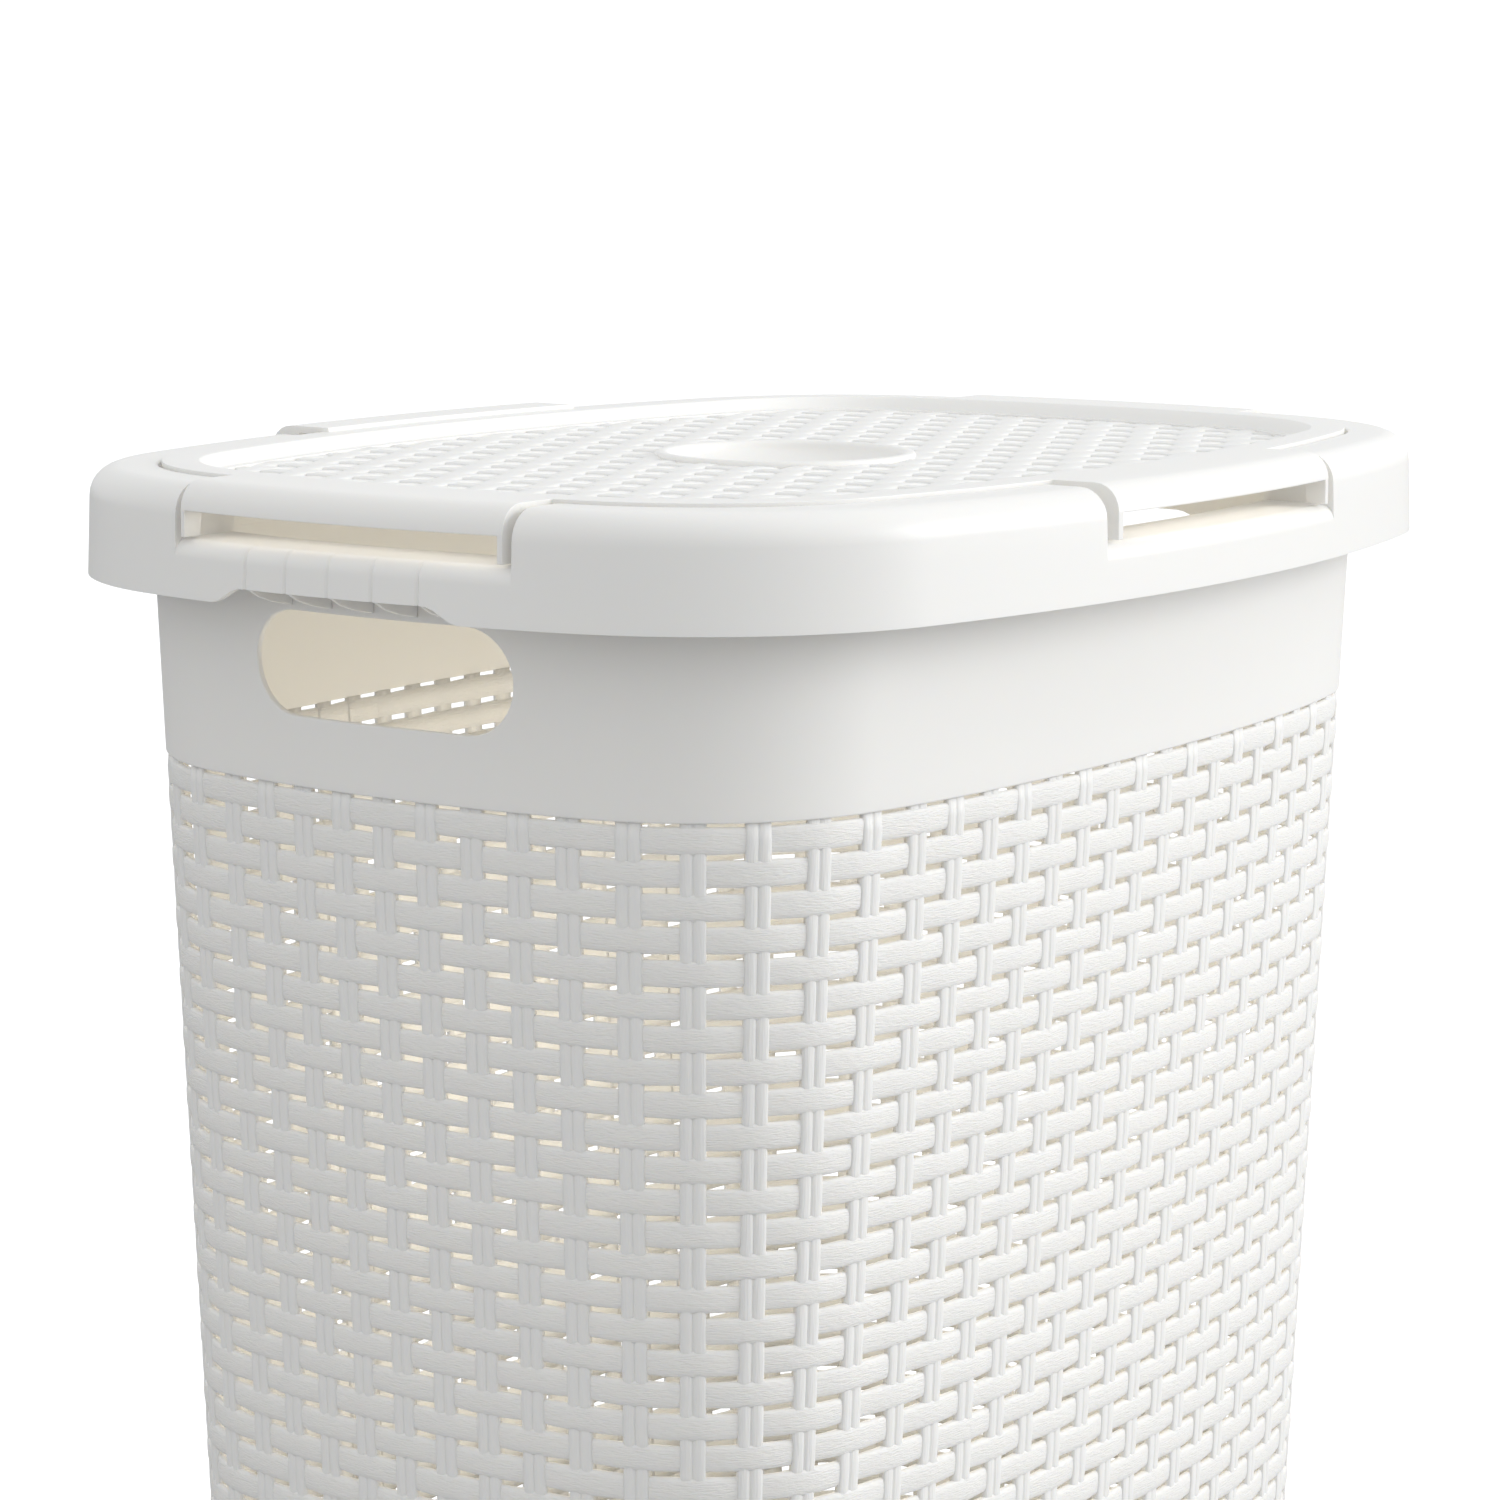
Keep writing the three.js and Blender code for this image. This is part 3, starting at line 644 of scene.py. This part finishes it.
def make_wall():
    pitch = (WALL_HIGH.z - WALL_LOW.z) / ROWS
    rows = ROWS // ROW_PIECES
    for part, where in enumerate(("upper", "middle", "lower")):
        grids = [wall_strip(part * rows + r, pitch) for r in range(rows)]
        strips = bars(f"weave_strips_{where}", grids, True)
        finish_piece(strips, STRIP_PLASTIC, "basket", "weave_plastic", "basket_wall")
    stakes = bars("weave_stakes", [wall_stake(k, pitch) for k in range(STAKES)], False)
    finish_piece(stakes, STAKE_PLASTIC, "basket", "weave_plastic", "basket_wall")


# ---- Plain band with the hand holes ----

def in_saddle(ring, margin=0.0):
    return ring.t < SADDLE_HALF[ring.side] + margin


def band_heights(ring):
    """Heights of the band's rows of points. The last row is missing under the saddles."""
    top = SADDLE_FLOOR - SHELL - 0.3 * MM
    rows = np.linspace(BAND_LOW.z, top, 14)
    return np.append(rows, top if in_saddle(ring, WEB_THICKNESS) else BAND_HIGH.z)


def slot_edge(share):
    """Point of the hole's lower edge, from one round end's corner to the other's, at a share of -1 to 1."""
    radius = (HOLE_TOP - HOLE_BOTTOM) / 2
    straight = HOLE_HALF - radius
    run = abs(share) * (straight + radius * math.pi / 4)
    turned = max(run - straight, 0) / radius
    return math.copysign(min(run, straight) + radius * math.sin(turned), share), -radius * math.cos(turned)


def slot_end(share):
    """Point of the hole's round end at +t, at a share of -1 to 1 of the quarter turn between its corners."""
    radius = (HOLE_TOP - HOLE_BOTTOM) / 2
    angle = share * math.pi / 4
    return HOLE_HALF - radius + radius * math.cos(angle), radius * math.sin(angle)


def hole_patch(sign):
    """The band around one hand hole, as rows of (t, height) points from the hole's edge to a rectangle."""
    heights = band_heights(Ring(distance_along("end", PATCH_HALF), PATCH_HALF))[:-1]
    across = np.linspace(-1, 1, 31)
    upright = np.linspace(-1, 1, len(heights))[1:-1]
    border = [(t * PATCH_HALF, heights[0]) for t in across]
    border += [(PATCH_HALF, z) for z in heights[1:-1]]
    border += [(-t * PATCH_HALF, heights[-1]) for t in across]
    border += [(-PATCH_HALF, z) for z in heights[-2:0:-1]]
    edge = [slot_edge(t) for t in across]
    edge += [slot_end(share) for share in upright]
    edge += [(-x, -z) for x, z in (slot_edge(t) for t in across)]
    edge += [(-x, -z) for x, z in (slot_end(share) for share in upright)]
    edge = np.array(edge) + (0, (HOLE_TOP + HOLE_BOTTOM) / 2)
    layers = [0, 0.1, 0.25, 0.45, 0.7, 1]
    flat = np.array([edge + share * (np.array(border) - edge) for share in layers])
    middle = 0 if sign > 0 else 2 * QUARTER

    def placed(thickness):
        grid = []
        for row in flat:
            rings = [Ring(middle + math.copysign(distance_along("end", abs(t)), t), abs(t)) for t, _ in row]
            grid.append([r.place(wall_inset(z, r.distance) + thickness, z) for r, (_, z) in zip(rings, row)])
        return np.array(grid)

    return placed(0), placed(WALL_THICKNESS)


def make_band():
    outer = ring_grid(lambda ring: [(wall_inset(z, ring.distance), z) for z in band_heights(ring)])
    thick = WALL_THICKNESS
    inner = ring_grid(lambda ring: [(wall_inset(z, ring.distance) + thick, z) for z in band_heights(ring)])
    columns = outer.shape[1]
    faces = []
    for i, ring in enumerate(RINGS):
        following = RINGS[(i + 1) % len(RINGS)]
        if ring.side == "long" or max(ring.t, following.t) > PATCH_HALF + 1e-7:
            start = i * columns
            after = (i + 1) % len(RINGS) * columns
            faces += [[start + j, after + j, after + j + 1, start + j + 1] for j in range(columns - 1)]
    outers = [outer.reshape(-1, 3)]
    inners = [inner.reshape(-1, 3)]
    count = len(outers[0])
    for sign in (1, -1):
        patch_outer, patch_inner = hole_patch(sign)
        faces += quads(count, *patch_outer.shape[:2], False, True)
        outers.append(patch_outer.reshape(-1, 3))
        inners.append(patch_inner.reshape(-1, 3))
        count += len(outers[-1])
    band = shell("plain_band", np.concatenate(outers), np.concatenate(inners), faces)
    soften(band, 0.8 * MM, segments=3)
    finish_piece(band, SMOOTH_PLASTIC, "basket", "basket_plastic", "hand_hole_band")


# ---- Base ----

def make_base():
    bead = 0.9 * MM
    bead_low = BASE_HIGH.z - 3.2 * MM

    def outer_profile(ring):
        place = ring.distance
        edge = [(wall_inset(z, place), z) for z in np.linspace(0, bead_low - 1 * MM, 5)]
        top = wall_inset(BASE_HIGH.z, place) - bead
        return edge + [(top + bead * 0.3, bead_low), (top, bead_low + 1 * MM), (top, BASE_HIGH.z)]

    def inner_profile(ring):
        heights = np.linspace(FLOOR_HEIGHT + FLOOR_THICKNESS, BASE_HIGH.z, 7)
        foot = wall_inset(0, ring.distance) + FOOT_WIDTH
        return [(foot, 0)] + [(wall_inset(z, ring.distance) + SHELL, z) for z in heights]

    outer = ring_grid(outer_profile)
    base = shell("base_skirt", outer, ring_grid(inner_profile), quads(0, *outer.shape[:2], True, False))
    soften(base, 0.7 * MM)
    finish_piece(base, SMOOTH_PLASTIC, "basket", "basket_plastic", "basket_base")

    edge = ring_grid(lambda ring: [(wall_inset(0, ring.distance) + FOOT_WIDTH / 2, 0)])[:, 0, :2]
    shares = np.array([1, 0.8, 0.6, 0.4, 0.2, 0.001])[:, None, None]
    under = np.concatenate([edge * shares, np.full((len(shares), len(edge), 1), FLOOR_HEIGHT)], -1)
    faces = quads(0, *under.shape[:2], False, True)
    plate = shell("base_floor", under + (0, 0, FLOOR_THICKNESS), under, faces)
    finish_piece(plate, SMOOTH_PLASTIC, "basket", "basket_plastic", "basket_base")


# ---- Rim collar ----

def sink(ring, z):
    """Depth of the fine grooves across the saddle, one in front of each rib behind it."""
    if ring.side == "long" or z < NOTCH_TOP or z > SADDLE_FLOOR + 1 * MM:
        return 0.0
    return SINK_DEPTH * sum(math.exp(-((ring.t - place) / SINK_WIDTH) ** 2) for place in RIB_PLACES)


def skirt_bottom(ring):
    """Height of the skirt's lower edge, which steps up over each hand hole."""
    if ring.side == "long":
        return RIM_BOTTOM
    share = smooth((NOTCH_HALF_BOTTOM - ring.t) / (NOTCH_HALF_BOTTOM - NOTCH_HALF_TOP))
    return RIM_BOTTOM + (NOTCH_TOP - RIM_BOTTOM) * share


def skirt_inset(z):
    return RIM_DRAFT * (z - RIM_BOTTOM) / (RIM_TOP - RIM_ROUND - RIM_BOTTOM)


def collar_outer(ring):
    low = skirt_bottom(ring)
    skirt = [(skirt_inset(z) + sink(ring, z), z) for z in np.linspace(low, SADDLE_SHOULDER, 4)]
    if in_saddle(ring):
        start = (skirt_inset(SADDLE_SHOULDER), SADDLE_SHOULDER)
        shoulder = ellipse(start, SHOULDER_WIDTH, SADDLE_FLOOR - SADDLE_SHOULDER, 10)[1:]
        shoulder = [(inset + sink(ring, z), z) for inset, z in shoulder]
        return skirt + shoulder + [(inset, SADDLE_FLOOR) for inset in SHELF]
    face_top = RIM_TOP - RIM_ROUND
    face = [(skirt_inset(z), z) for z in (FACE_LOW, face_top)]
    edge = ellipse((RIM_DRAFT, face_top), RIM_ROUND, RIM_ROUND, 8)[1:]
    ring_top = [(RING_MIDDLE, RIM_TOP), (RING_INNER - RING_EDGE, RIM_TOP)]
    ring_top.append((RING_INNER, RIM_TOP - RING_EDGE))
    return skirt + face + edge + ring_top + [(RING_INNER, LEDGE_TOP), (LEDGE_INNER, LEDGE_TOP)]


def collar_inner(ring):
    low = skirt_bottom(ring)
    shoulder_low = SADDLE_SHOULDER - 1 * MM
    skirt = [(SHELL + skirt_inset(z), z) for z in np.linspace(low, shoulder_low, 4)]
    if in_saddle(ring, WEB_THICKNESS):
        start = (SHELL + skirt_inset(shoulder_low), shoulder_low)
        floor = SADDLE_FLOOR - SHELL
        shoulder = ellipse(start, SHOULDER_WIDTH - 1.5 * MM, floor - shoulder_low, 10)[1:]
        return skirt + shoulder + [(inset, floor) for inset in SHELF]
    face_top = RIM_TOP - RIM_ROUND
    face = [(SHELL + skirt_inset(z), z) for z in (FACE_LOW, face_top)]
    edge = ellipse((RIM_DRAFT + SHELL, face_top), RIM_ROUND - SHELL, RIM_ROUND - SHELL, 8)[1:]
    under = RIM_TOP - SHELL
    step = RING_INNER - SHELL
    ring_under = [(13 * MM, under), (step - RING_EDGE, under), (step, under - RING_EDGE)]
    ledge = LEDGE_TOP - SHELL
    return skirt + face + edge + ring_under + [(step, ledge), (LEDGE_INNER, ledge)]


def make_collar():
    outer = ring_grid(collar_outer)
    collar = shell("collar_shell", outer, ring_grid(collar_inner), quads(0, *outer.shape[:2], True, False))
    soften(collar, 0.7 * MM, segments=3)
    finish_piece(collar, RIM_PLASTIC, "basket", "rim_plastic", "rim_collar")


def make_collar_lip():
    """The ring inside the wall that the collar snaps on with."""
    def profile(inset):
        def points(ring):
            top = SADDLE_FLOOR - 1.4 * MM if in_saddle(ring, WEB_THICKNESS) else LEDGE_TOP - 1.2 * MM
            return [(inset, z) for z in np.linspace(LIP_BOTTOM, top, 3)]
        return points
    outer = ring_grid(profile(LIP_OUTER))
    lip = shell("collar_lip", outer, ring_grid(profile(LIP_INNER - 0.05 * MM)),
                quads(0, *outer.shape[:2], True, False))
    soften(lip, 0.4 * MM)
    finish_piece(lip, RIM_PLASTIC, "basket", "rim_plastic", "rim_collar")


def make_collar_ribs():
    """Stiffening ribs between the skirt and the wall over each hand hole."""
    top = SADDLE_FLOOR - 1.6 * MM
    low = NOTCH_TOP + 0.15 * MM
    section = [(1.3 * MM, low), (1.3 * MM, low + 3 * MM), (6.5 * MM, top)]
    section += [(19.2 * MM, top), (19.8 * MM, RIB_BOTTOM)]
    section += [(12 * MM, RIB_BOTTOM + 1.6 * MM), (6 * MM, RIB_BOTTOM + 3.6 * MM)]
    grids = []
    for middle in (0, 2 * QUARTER):
        for place in RIB_PLACES:
            grid = []
            for t in (place - RIB_THICKNESS / 2, place + RIB_THICKNESS / 2):
                ring = Ring(middle + math.copysign(distance_along("end", abs(t)), t), abs(t))
                grid.append([ring.place(*point) for point in section])
            grids.append(np.array(grid))
    ribs = bars("collar_ribs", grids, False)
    soften(ribs, 0.25 * MM)
    finish_piece(ribs, RIM_PLASTIC, "basket", "rim_plastic", "rim_collar")


# ---- Lid ----

def in_tab(ring):
    return ring.t < TAB_HALF[ring.side]


def in_leg(ring):
    return in_tab(ring) and ring.t > TAB_HALF[ring.side] - LEG_THICKNESS[ring.leg]


def tab_top(ring):
    return BACK_TAB_TOP if in_tab(ring) and ring.side == "long" and ring.back else LID_TOP


def lid_outer(ring):
    """From the field's edge over the step and the border, then along the tab and down its leg."""
    top = tab_top(ring)
    width = STEP_INNER - BORDER_INNER
    rise = LID_TOP - FIELD_TOP
    step = [(STEP_INNER - width * k, FIELD_TOP + rise * smooth(k)) for k in STEP_SHARES]
    border = [(BORDER_MIDDLE, LID_TOP), (TAB_JOIN + 0.3 * MM, LID_TOP), (TAB_JOIN, top), (BORDER_OUTER, top)]
    tab = [(TAB_MIDDLE, top), (12 * MM, top)]
    edge = ellipse((TAB_FACE, top - TAB_ROUND), TAB_ROUND, TAB_ROUND, 7)[::-1]
    return [(FIELD_JOINT, FIELD_TOP)] + step + border + tab + edge + [(TAB_FACE, z) for z in LEG_HEIGHTS]


def lid_inner(ring):
    top = tab_top(ring)
    under = top - TAB_THICKNESS
    width = STEP_INNER - BORDER_INNER
    rise = LID_TOP - FIELD_TOP
    low = FIELD_TOP - TAB_THICKNESS
    sag = 0.9 * MM
    step = [(STEP_INNER - width * k - sag * math.sin(math.pi * k), low + rise * smooth(k))
            for k in STEP_SHARES]
    plate = LID_TOP - BORDER_THICKNESS
    border = [(BORDER_MIDDLE, plate), (TAB_JOIN + 0.3 * MM, plate), (TAB_JOIN, top - BORDER_THICKNESS)]
    border.append((BORDER_OUTER, top - BORDER_THICKNESS))
    tab = [(TAB_MIDDLE, under), (12.5 * MM, under)]
    if in_leg(ring):
        shares = np.linspace(0.1, 0.9, 7)
        start = np.array([12.5 * MM, under])
        end = np.array([LEG_DEPTH + 1 * MM, SLOT_TOP])
        edge = [tuple(start + (end - start) * k) for k in shares]
        down = list(zip((LEG_DEPTH + 1 * MM, LEG_DEPTH + 0.5 * MM, LEG_DEPTH), LEG_HEIGHTS))
        return [(FIELD_JOINT, low)] + step + border + tab + edge + down
    inner_round = TAB_ROUND - TAB_THICKNESS
    edge = ellipse((TAB_FACE + TAB_THICKNESS, under - inner_round), inner_round, inner_round, 7)[::-1]
    down = [(TAB_FACE + TAB_THICKNESS, z) for z in LEG_HEIGHTS]
    return [(FIELD_JOINT, low)] + step + border + tab + edge + down


def lid_columns(ring, following):
    """How many cells of the lid's section are there between two rings."""
    columns = BORDER_COLUMNS
    if in_tab(ring) and in_tab(following):
        columns += TAB_COLUMNS
        back = ring.side == "long" and ring.back
        if in_leg(ring) and in_leg(following) and not back:
            columns += LEG_COLUMNS
    return columns


def make_lid_shell():
    outer = ring_grid(lid_outer)
    inner = ring_grid(lid_inner)
    points = outer.shape[1]
    faces = []
    for i, ring in enumerate(RINGS):
        k = (i + 1) % len(RINGS)
        for j in range(lid_columns(ring, RINGS[k])):
            faces.append([i * points + j, k * points + j, k * points + j + 1, i * points + j + 1])
    lid = shell("lid_shell", outer, inner, faces)
    soften(lid, 0.6 * MM, segments=3)
    finish_piece(lid, LID_PLASTIC, "lid", "lid_plastic", "lid_frame")


def make_locating_rib():
    outer = ring_grid(lambda ring: [(LOCATING_RIB[0], z) for z in (LOCATING_RIB_BOTTOM, LID_TOP - 1.5 * MM)])
    inner = ring_grid(lambda ring: [(LOCATING_RIB[1], z) for z in (LOCATING_RIB_BOTTOM, LID_TOP - 1.5 * MM)])
    rib = shell("lid_locating_rib", outer, inner, quads(0, *outer.shape[:2], True, False))
    soften(rib, 0.4 * MM)
    finish_piece(rib, LID_PLASTIC, "lid", "lid_plastic", "lid_frame")


def field_reach(lanes, axis):
    """Half length of the woven field along an axis, at places across it."""
    point, normal = outline(np.linspace(0, QUARTER, 600))
    edge = point - (FIELD_JOINT - 1 * MM) * normal
    across = edge[:, 1 - axis]
    order = np.argsort(across)
    return np.interp(np.abs(lanes), across[order], edge[order, axis], right=0)


def field_bars(axis, centre, section, amplitude, level, phase):
    """Bars of the lid's weave along one axis, stopped by the field's edge and by the dish."""
    pitch = LID_STAKE_PITCH if axis == 0 else LID_ROW_PITCH
    lanes = centre + section[:, 0]
    reach = field_reach(lanes, axis)
    dish = np.sqrt(np.maximum((DISH_RADIUS - 1.5 * MM) ** 2 - lanes ** 2, 0))
    spans = [(-reach, -dish), (dish, reach)] if dish.max() > 0 else [(-reach, reach)]
    made = []
    for low, high in spans:
        steps = max(4, round(STEPS_PER_STAKE * np.max(high - low) / LID_STAKE_PITCH))
        along = low + (high - low) * np.linspace(0, 1, steps + 1)[:, None]
        wave = np.cos(math.pi * (along / pitch + phase))
        depth = amplitude * (1 - wave) + level + section[:, 1]
        points = np.empty((*along.shape, 3))
        points[..., axis] = along
        points[..., 1 - axis] = lanes
        points[..., 2] = FIELD_TOP - depth
        made.append(points)
    return made


def make_lid_field():
    rows = int((HALF_WIDTH - FIELD_JOINT) / LID_ROW_PITCH)
    section = strip_section(LID_ROW_PITCH * STRIP_SHARE)[:, ::-1]
    grids = []
    for row in range(-rows, rows + 1):
        grids += field_bars(0, row * LID_ROW_PITCH, section, LID_WAVE, 0, row + 0.5)
    strips = bars("lid_weave_strips", grids, False)
    finish_piece(strips, LID_STRIP_PLASTIC, "lid", "weave_plastic", "lid_field")

    stakes = int((HALF_LENGTH - FIELD_JOINT - 6 * MM) / LID_STAKE_PITCH + 0.5)
    grids = []
    level = LID_WAVE - STAKE_WAVE
    for k in range(-stakes, stakes):
        grids += field_bars(1, (k + 0.5) * LID_STAKE_PITCH, stake_section(), STAKE_WAVE, level, k)
    uprights = bars("lid_weave_stakes", grids, False)
    finish_piece(uprights, LID_STAKE_PLASTIC, "lid", "weave_plastic", "lid_field")


def make_field_plate():
    """The closed plate that the lid's weave stands on."""
    edge = ring_grid(lambda ring: [(FIELD_JOINT - 1 * MM, 0)])[:, 0, :2]
    hole = edge / np.hypot(edge[:, 0], edge[:, 1])[:, None] * (DISH_RADIUS - 1.5 * MM)
    shares = np.linspace(0, 1, 5)[:, None, None]
    flat = edge * (1 - shares) + hole * shares
    top = np.concatenate([flat, np.full((*flat.shape[:2], 1), FIELD_TOP - 1.5 * MM)], -1)
    plate = shell("lid_field_plate", top, top - (0, 0, 1 * MM), quads(0, *top.shape[:2], False, True))
    finish_piece(plate, LID_PLASTIC, "lid", "weave_plastic", "lid_field")


def make_dish():
    """The round finger dish in the middle of the lid, with a raised lip."""
    low = FIELD_TOP - TAB_THICKNESS
    radius = DISH_RADIUS
    edge = DISH_LIP - 1 * MM
    bowl = ellipse((0, 0), BOWL_WIDTH, edge - DISH_FLOOR, 12)
    wall = [(radius - 4.4 * MM - inset, edge - depth) for inset, depth in bowl]
    points = [(0, DISH_FLOOR - TAB_THICKNESS), (radius - 13 * MM, DISH_FLOOR - TAB_THICKNESS)]
    points += [(radius - 2.5 * MM, low - 0.6 * MM), (radius - 0.4 * MM, low), (radius, low + 0.4 * MM)]
    points += [(radius, DISH_LIP - 0.9 * MM), (radius - 0.3 * MM, DISH_LIP - 0.3 * MM)]
    points += [(radius - 0.9 * MM, DISH_LIP), (radius - 2.9 * MM, DISH_LIP)]
    points.append((radius - 3.7 * MM, DISH_LIP - 0.3 * MM))
    points += wall + [(0, DISH_FLOOR)]
    dish = lathe("lid_dish", points, Vector((0, 0, 0)), (0, 0, 1), 128)
    finish_piece(dish, LID_PLASTIC, "lid", "lid_plastic", "lid_field")


# ---- Hinge ----

def make_hinge():
    """Round eyes at the ends of the back tab's legs, and a headed pin through each into the collar's web."""
    inner = TAB_HALF["long"] - LEG_THICKNESS["back"]
    edge = 0.5 * MM
    thick = LEG_THICKNESS["back"] - 0.1 * MM
    eye = [(0, 0), (EYE_RADIUS - edge, 0), (EYE_RADIUS, edge), (EYE_RADIUS, thick - edge)]
    eye += [(EYE_RADIUS - edge, thick), (0, thick)]
    head = PIN_HEAD_RADIUS
    for name, sign in (("left", -1), ("right", 1)):
        low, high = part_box("hinge_pin_" + name)
        length = high.x - low.x - PIN_HEAD_THICKNESS
        place = Vector((sign * (inner + 0.05 * MM), HINGE.y, HINGE.z))
        turned = lathe("hinge_eye_" + name, eye, place, (sign, 0, 0), 48)
        finish_piece(turned, LID_PLASTIC, "lid", "lid_plastic", "lid_frame")
        pin = [(0, -PIN_HEAD_THICKNESS), (head - edge, -PIN_HEAD_THICKNESS)]
        pin.append((head, edge - PIN_HEAD_THICKNESS))
        pin += [(head, 0), (PIN_RADIUS, 0), (PIN_RADIUS, length - edge), (PIN_RADIUS - edge, length)]
        pin.append((0, length))
        start = min(abs(low.x), abs(high.x)) + PIN_HEAD_THICKNESS
        place = Vector((sign * start, HINGE.y, HINGE.z))
        made = lathe("hinge_pin_body_" + name, pin, place, (sign, 0, 0), 48)
        finish_piece(made, PIN_PLASTIC, "lid", "pin_plastic", "hinge_pin_" + name)


make_wall()
make_band()
make_base()
make_collar()
make_collar_lip()
make_collar_ribs()
make_lid_shell()
make_locating_rib()
make_lid_field()
make_field_plate()
make_dish()
make_hinge()


# ---- Stage, light, camera ----

def make_floor():
    size = FLOOR_HALF
    mesh = bpy.data.meshes.new("floor")
    corners = [(-size, -size, 0), (size, -size, 0), (size, size, 0), (-size, size, 0)]
    mesh.from_pydata(corners, [], [(0, 1, 2, 3)])
    floor = bpy.data.objects.new("floor", mesh)
    bpy.context.scene.collection.objects.link(floor)
    floor.data.materials.append(floor_paper())


def area_light(name, place, aim, size, power, colour=(1, 1, 1)):
    data = bpy.data.lights.new(name, "AREA")
    data.shape = "RECTANGLE"
    data.size, data.size_y = size
    data.energy = power
    data.color = colour
    light = bpy.data.objects.new(name, data)
    light.location = place
    light.rotation_euler = (Vector(aim) - Vector(place)).to_track_quat("-Z", "Y").to_euler()
    light.visible_camera = False
    bpy.context.scene.collection.objects.link(light)


def inner_light():
    """Stands for the warm light that comes through the thin walls."""
    data = bpy.data.lights.new("inner", "POINT")
    data.energy = INNER_POWER
    data.color = INNER_COLOUR
    data.shadow_soft_size = INNER_RADIUS
    light = bpy.data.objects.new("inner", data)
    light.location = INNER_PLACE
    light.visible_camera = False
    bpy.context.scene.collection.objects.link(light)


def slot_lights():
    """Stand for the light that comes through the thin tabs above the slots."""
    height = SLOT_TOP - 0.3 * MM
    end = RIM_HIGH.x - SLOT_LIGHT_INSET
    side = RIM_HIGH.y - SLOT_LIGHT_INSET
    upright = (SLOT_LIGHT_WIDTH, SLOT_LIGHT_LENGTH)
    places = [(end, 0, upright), (-end, 0, upright), (0, side, upright[::-1]), (0, -side, upright[::-1])]
    for number, (x, y, size) in enumerate(places):
        area_light(f"slot_{number}", (x, y, height), (x, y, 0), size, SLOT_LIGHT_POWER, SLOT_LIGHT_COLOUR)


def make_world():
    world = bpy.data.worlds.new("studio")
    bpy.context.scene.world = world
    world.use_nodes = True
    tree = world.node_tree
    light = tree.nodes["Background"]
    light.inputs["Color"].default_value = WORLD_COLOUR
    light.inputs["Strength"].default_value = WORLD_STRENGTH
    seen = node(tree, "ShaderNodeBackground")
    seen.inputs["Color"].default_value = (1, 1, 1, 1)
    seen.inputs["Strength"].default_value = BACKGROUND_STRENGTH
    ray = node(tree, "ShaderNodeLightPath")
    choose = node(tree, "ShaderNodeMixShader")
    tree.links.new(ray.outputs["Is Camera Ray"], choose.inputs["Fac"])
    tree.links.new(light.outputs["Background"], choose.inputs[1])
    tree.links.new(seen.outputs["Background"], choose.inputs[2])
    tree.links.new(choose.outputs["Shader"], tree.nodes["World Output"].inputs["Surface"])


def make_camera():
    data = bpy.data.cameras.new("camera")
    data.lens = CAMERA_LENS
    data.sensor_width = 36
    data.shift_x, data.shift_y = CAMERA_SHIFT
    camera = bpy.data.objects.new("camera", data)
    turn = (CAMERA_AIM - CAMERA_PLACE).to_track_quat("-Z", "Y").to_matrix().to_4x4()
    camera.matrix_world = Matrix.Translation(CAMERA_PLACE) @ turn @ Matrix.Rotation(CAMERA_ROLL, 4, "Z")
    bpy.context.scene.collection.objects.link(camera)
    bpy.context.scene.camera = camera


make_camera()
make_floor()
make_world()
area_light("key", KEY_PLACE, KEY_AIM, KEY_SIZE, KEY_POWER)
inner_light()
slot_lights()
bpy.context.scene.view_settings.view_transform = "Standard"
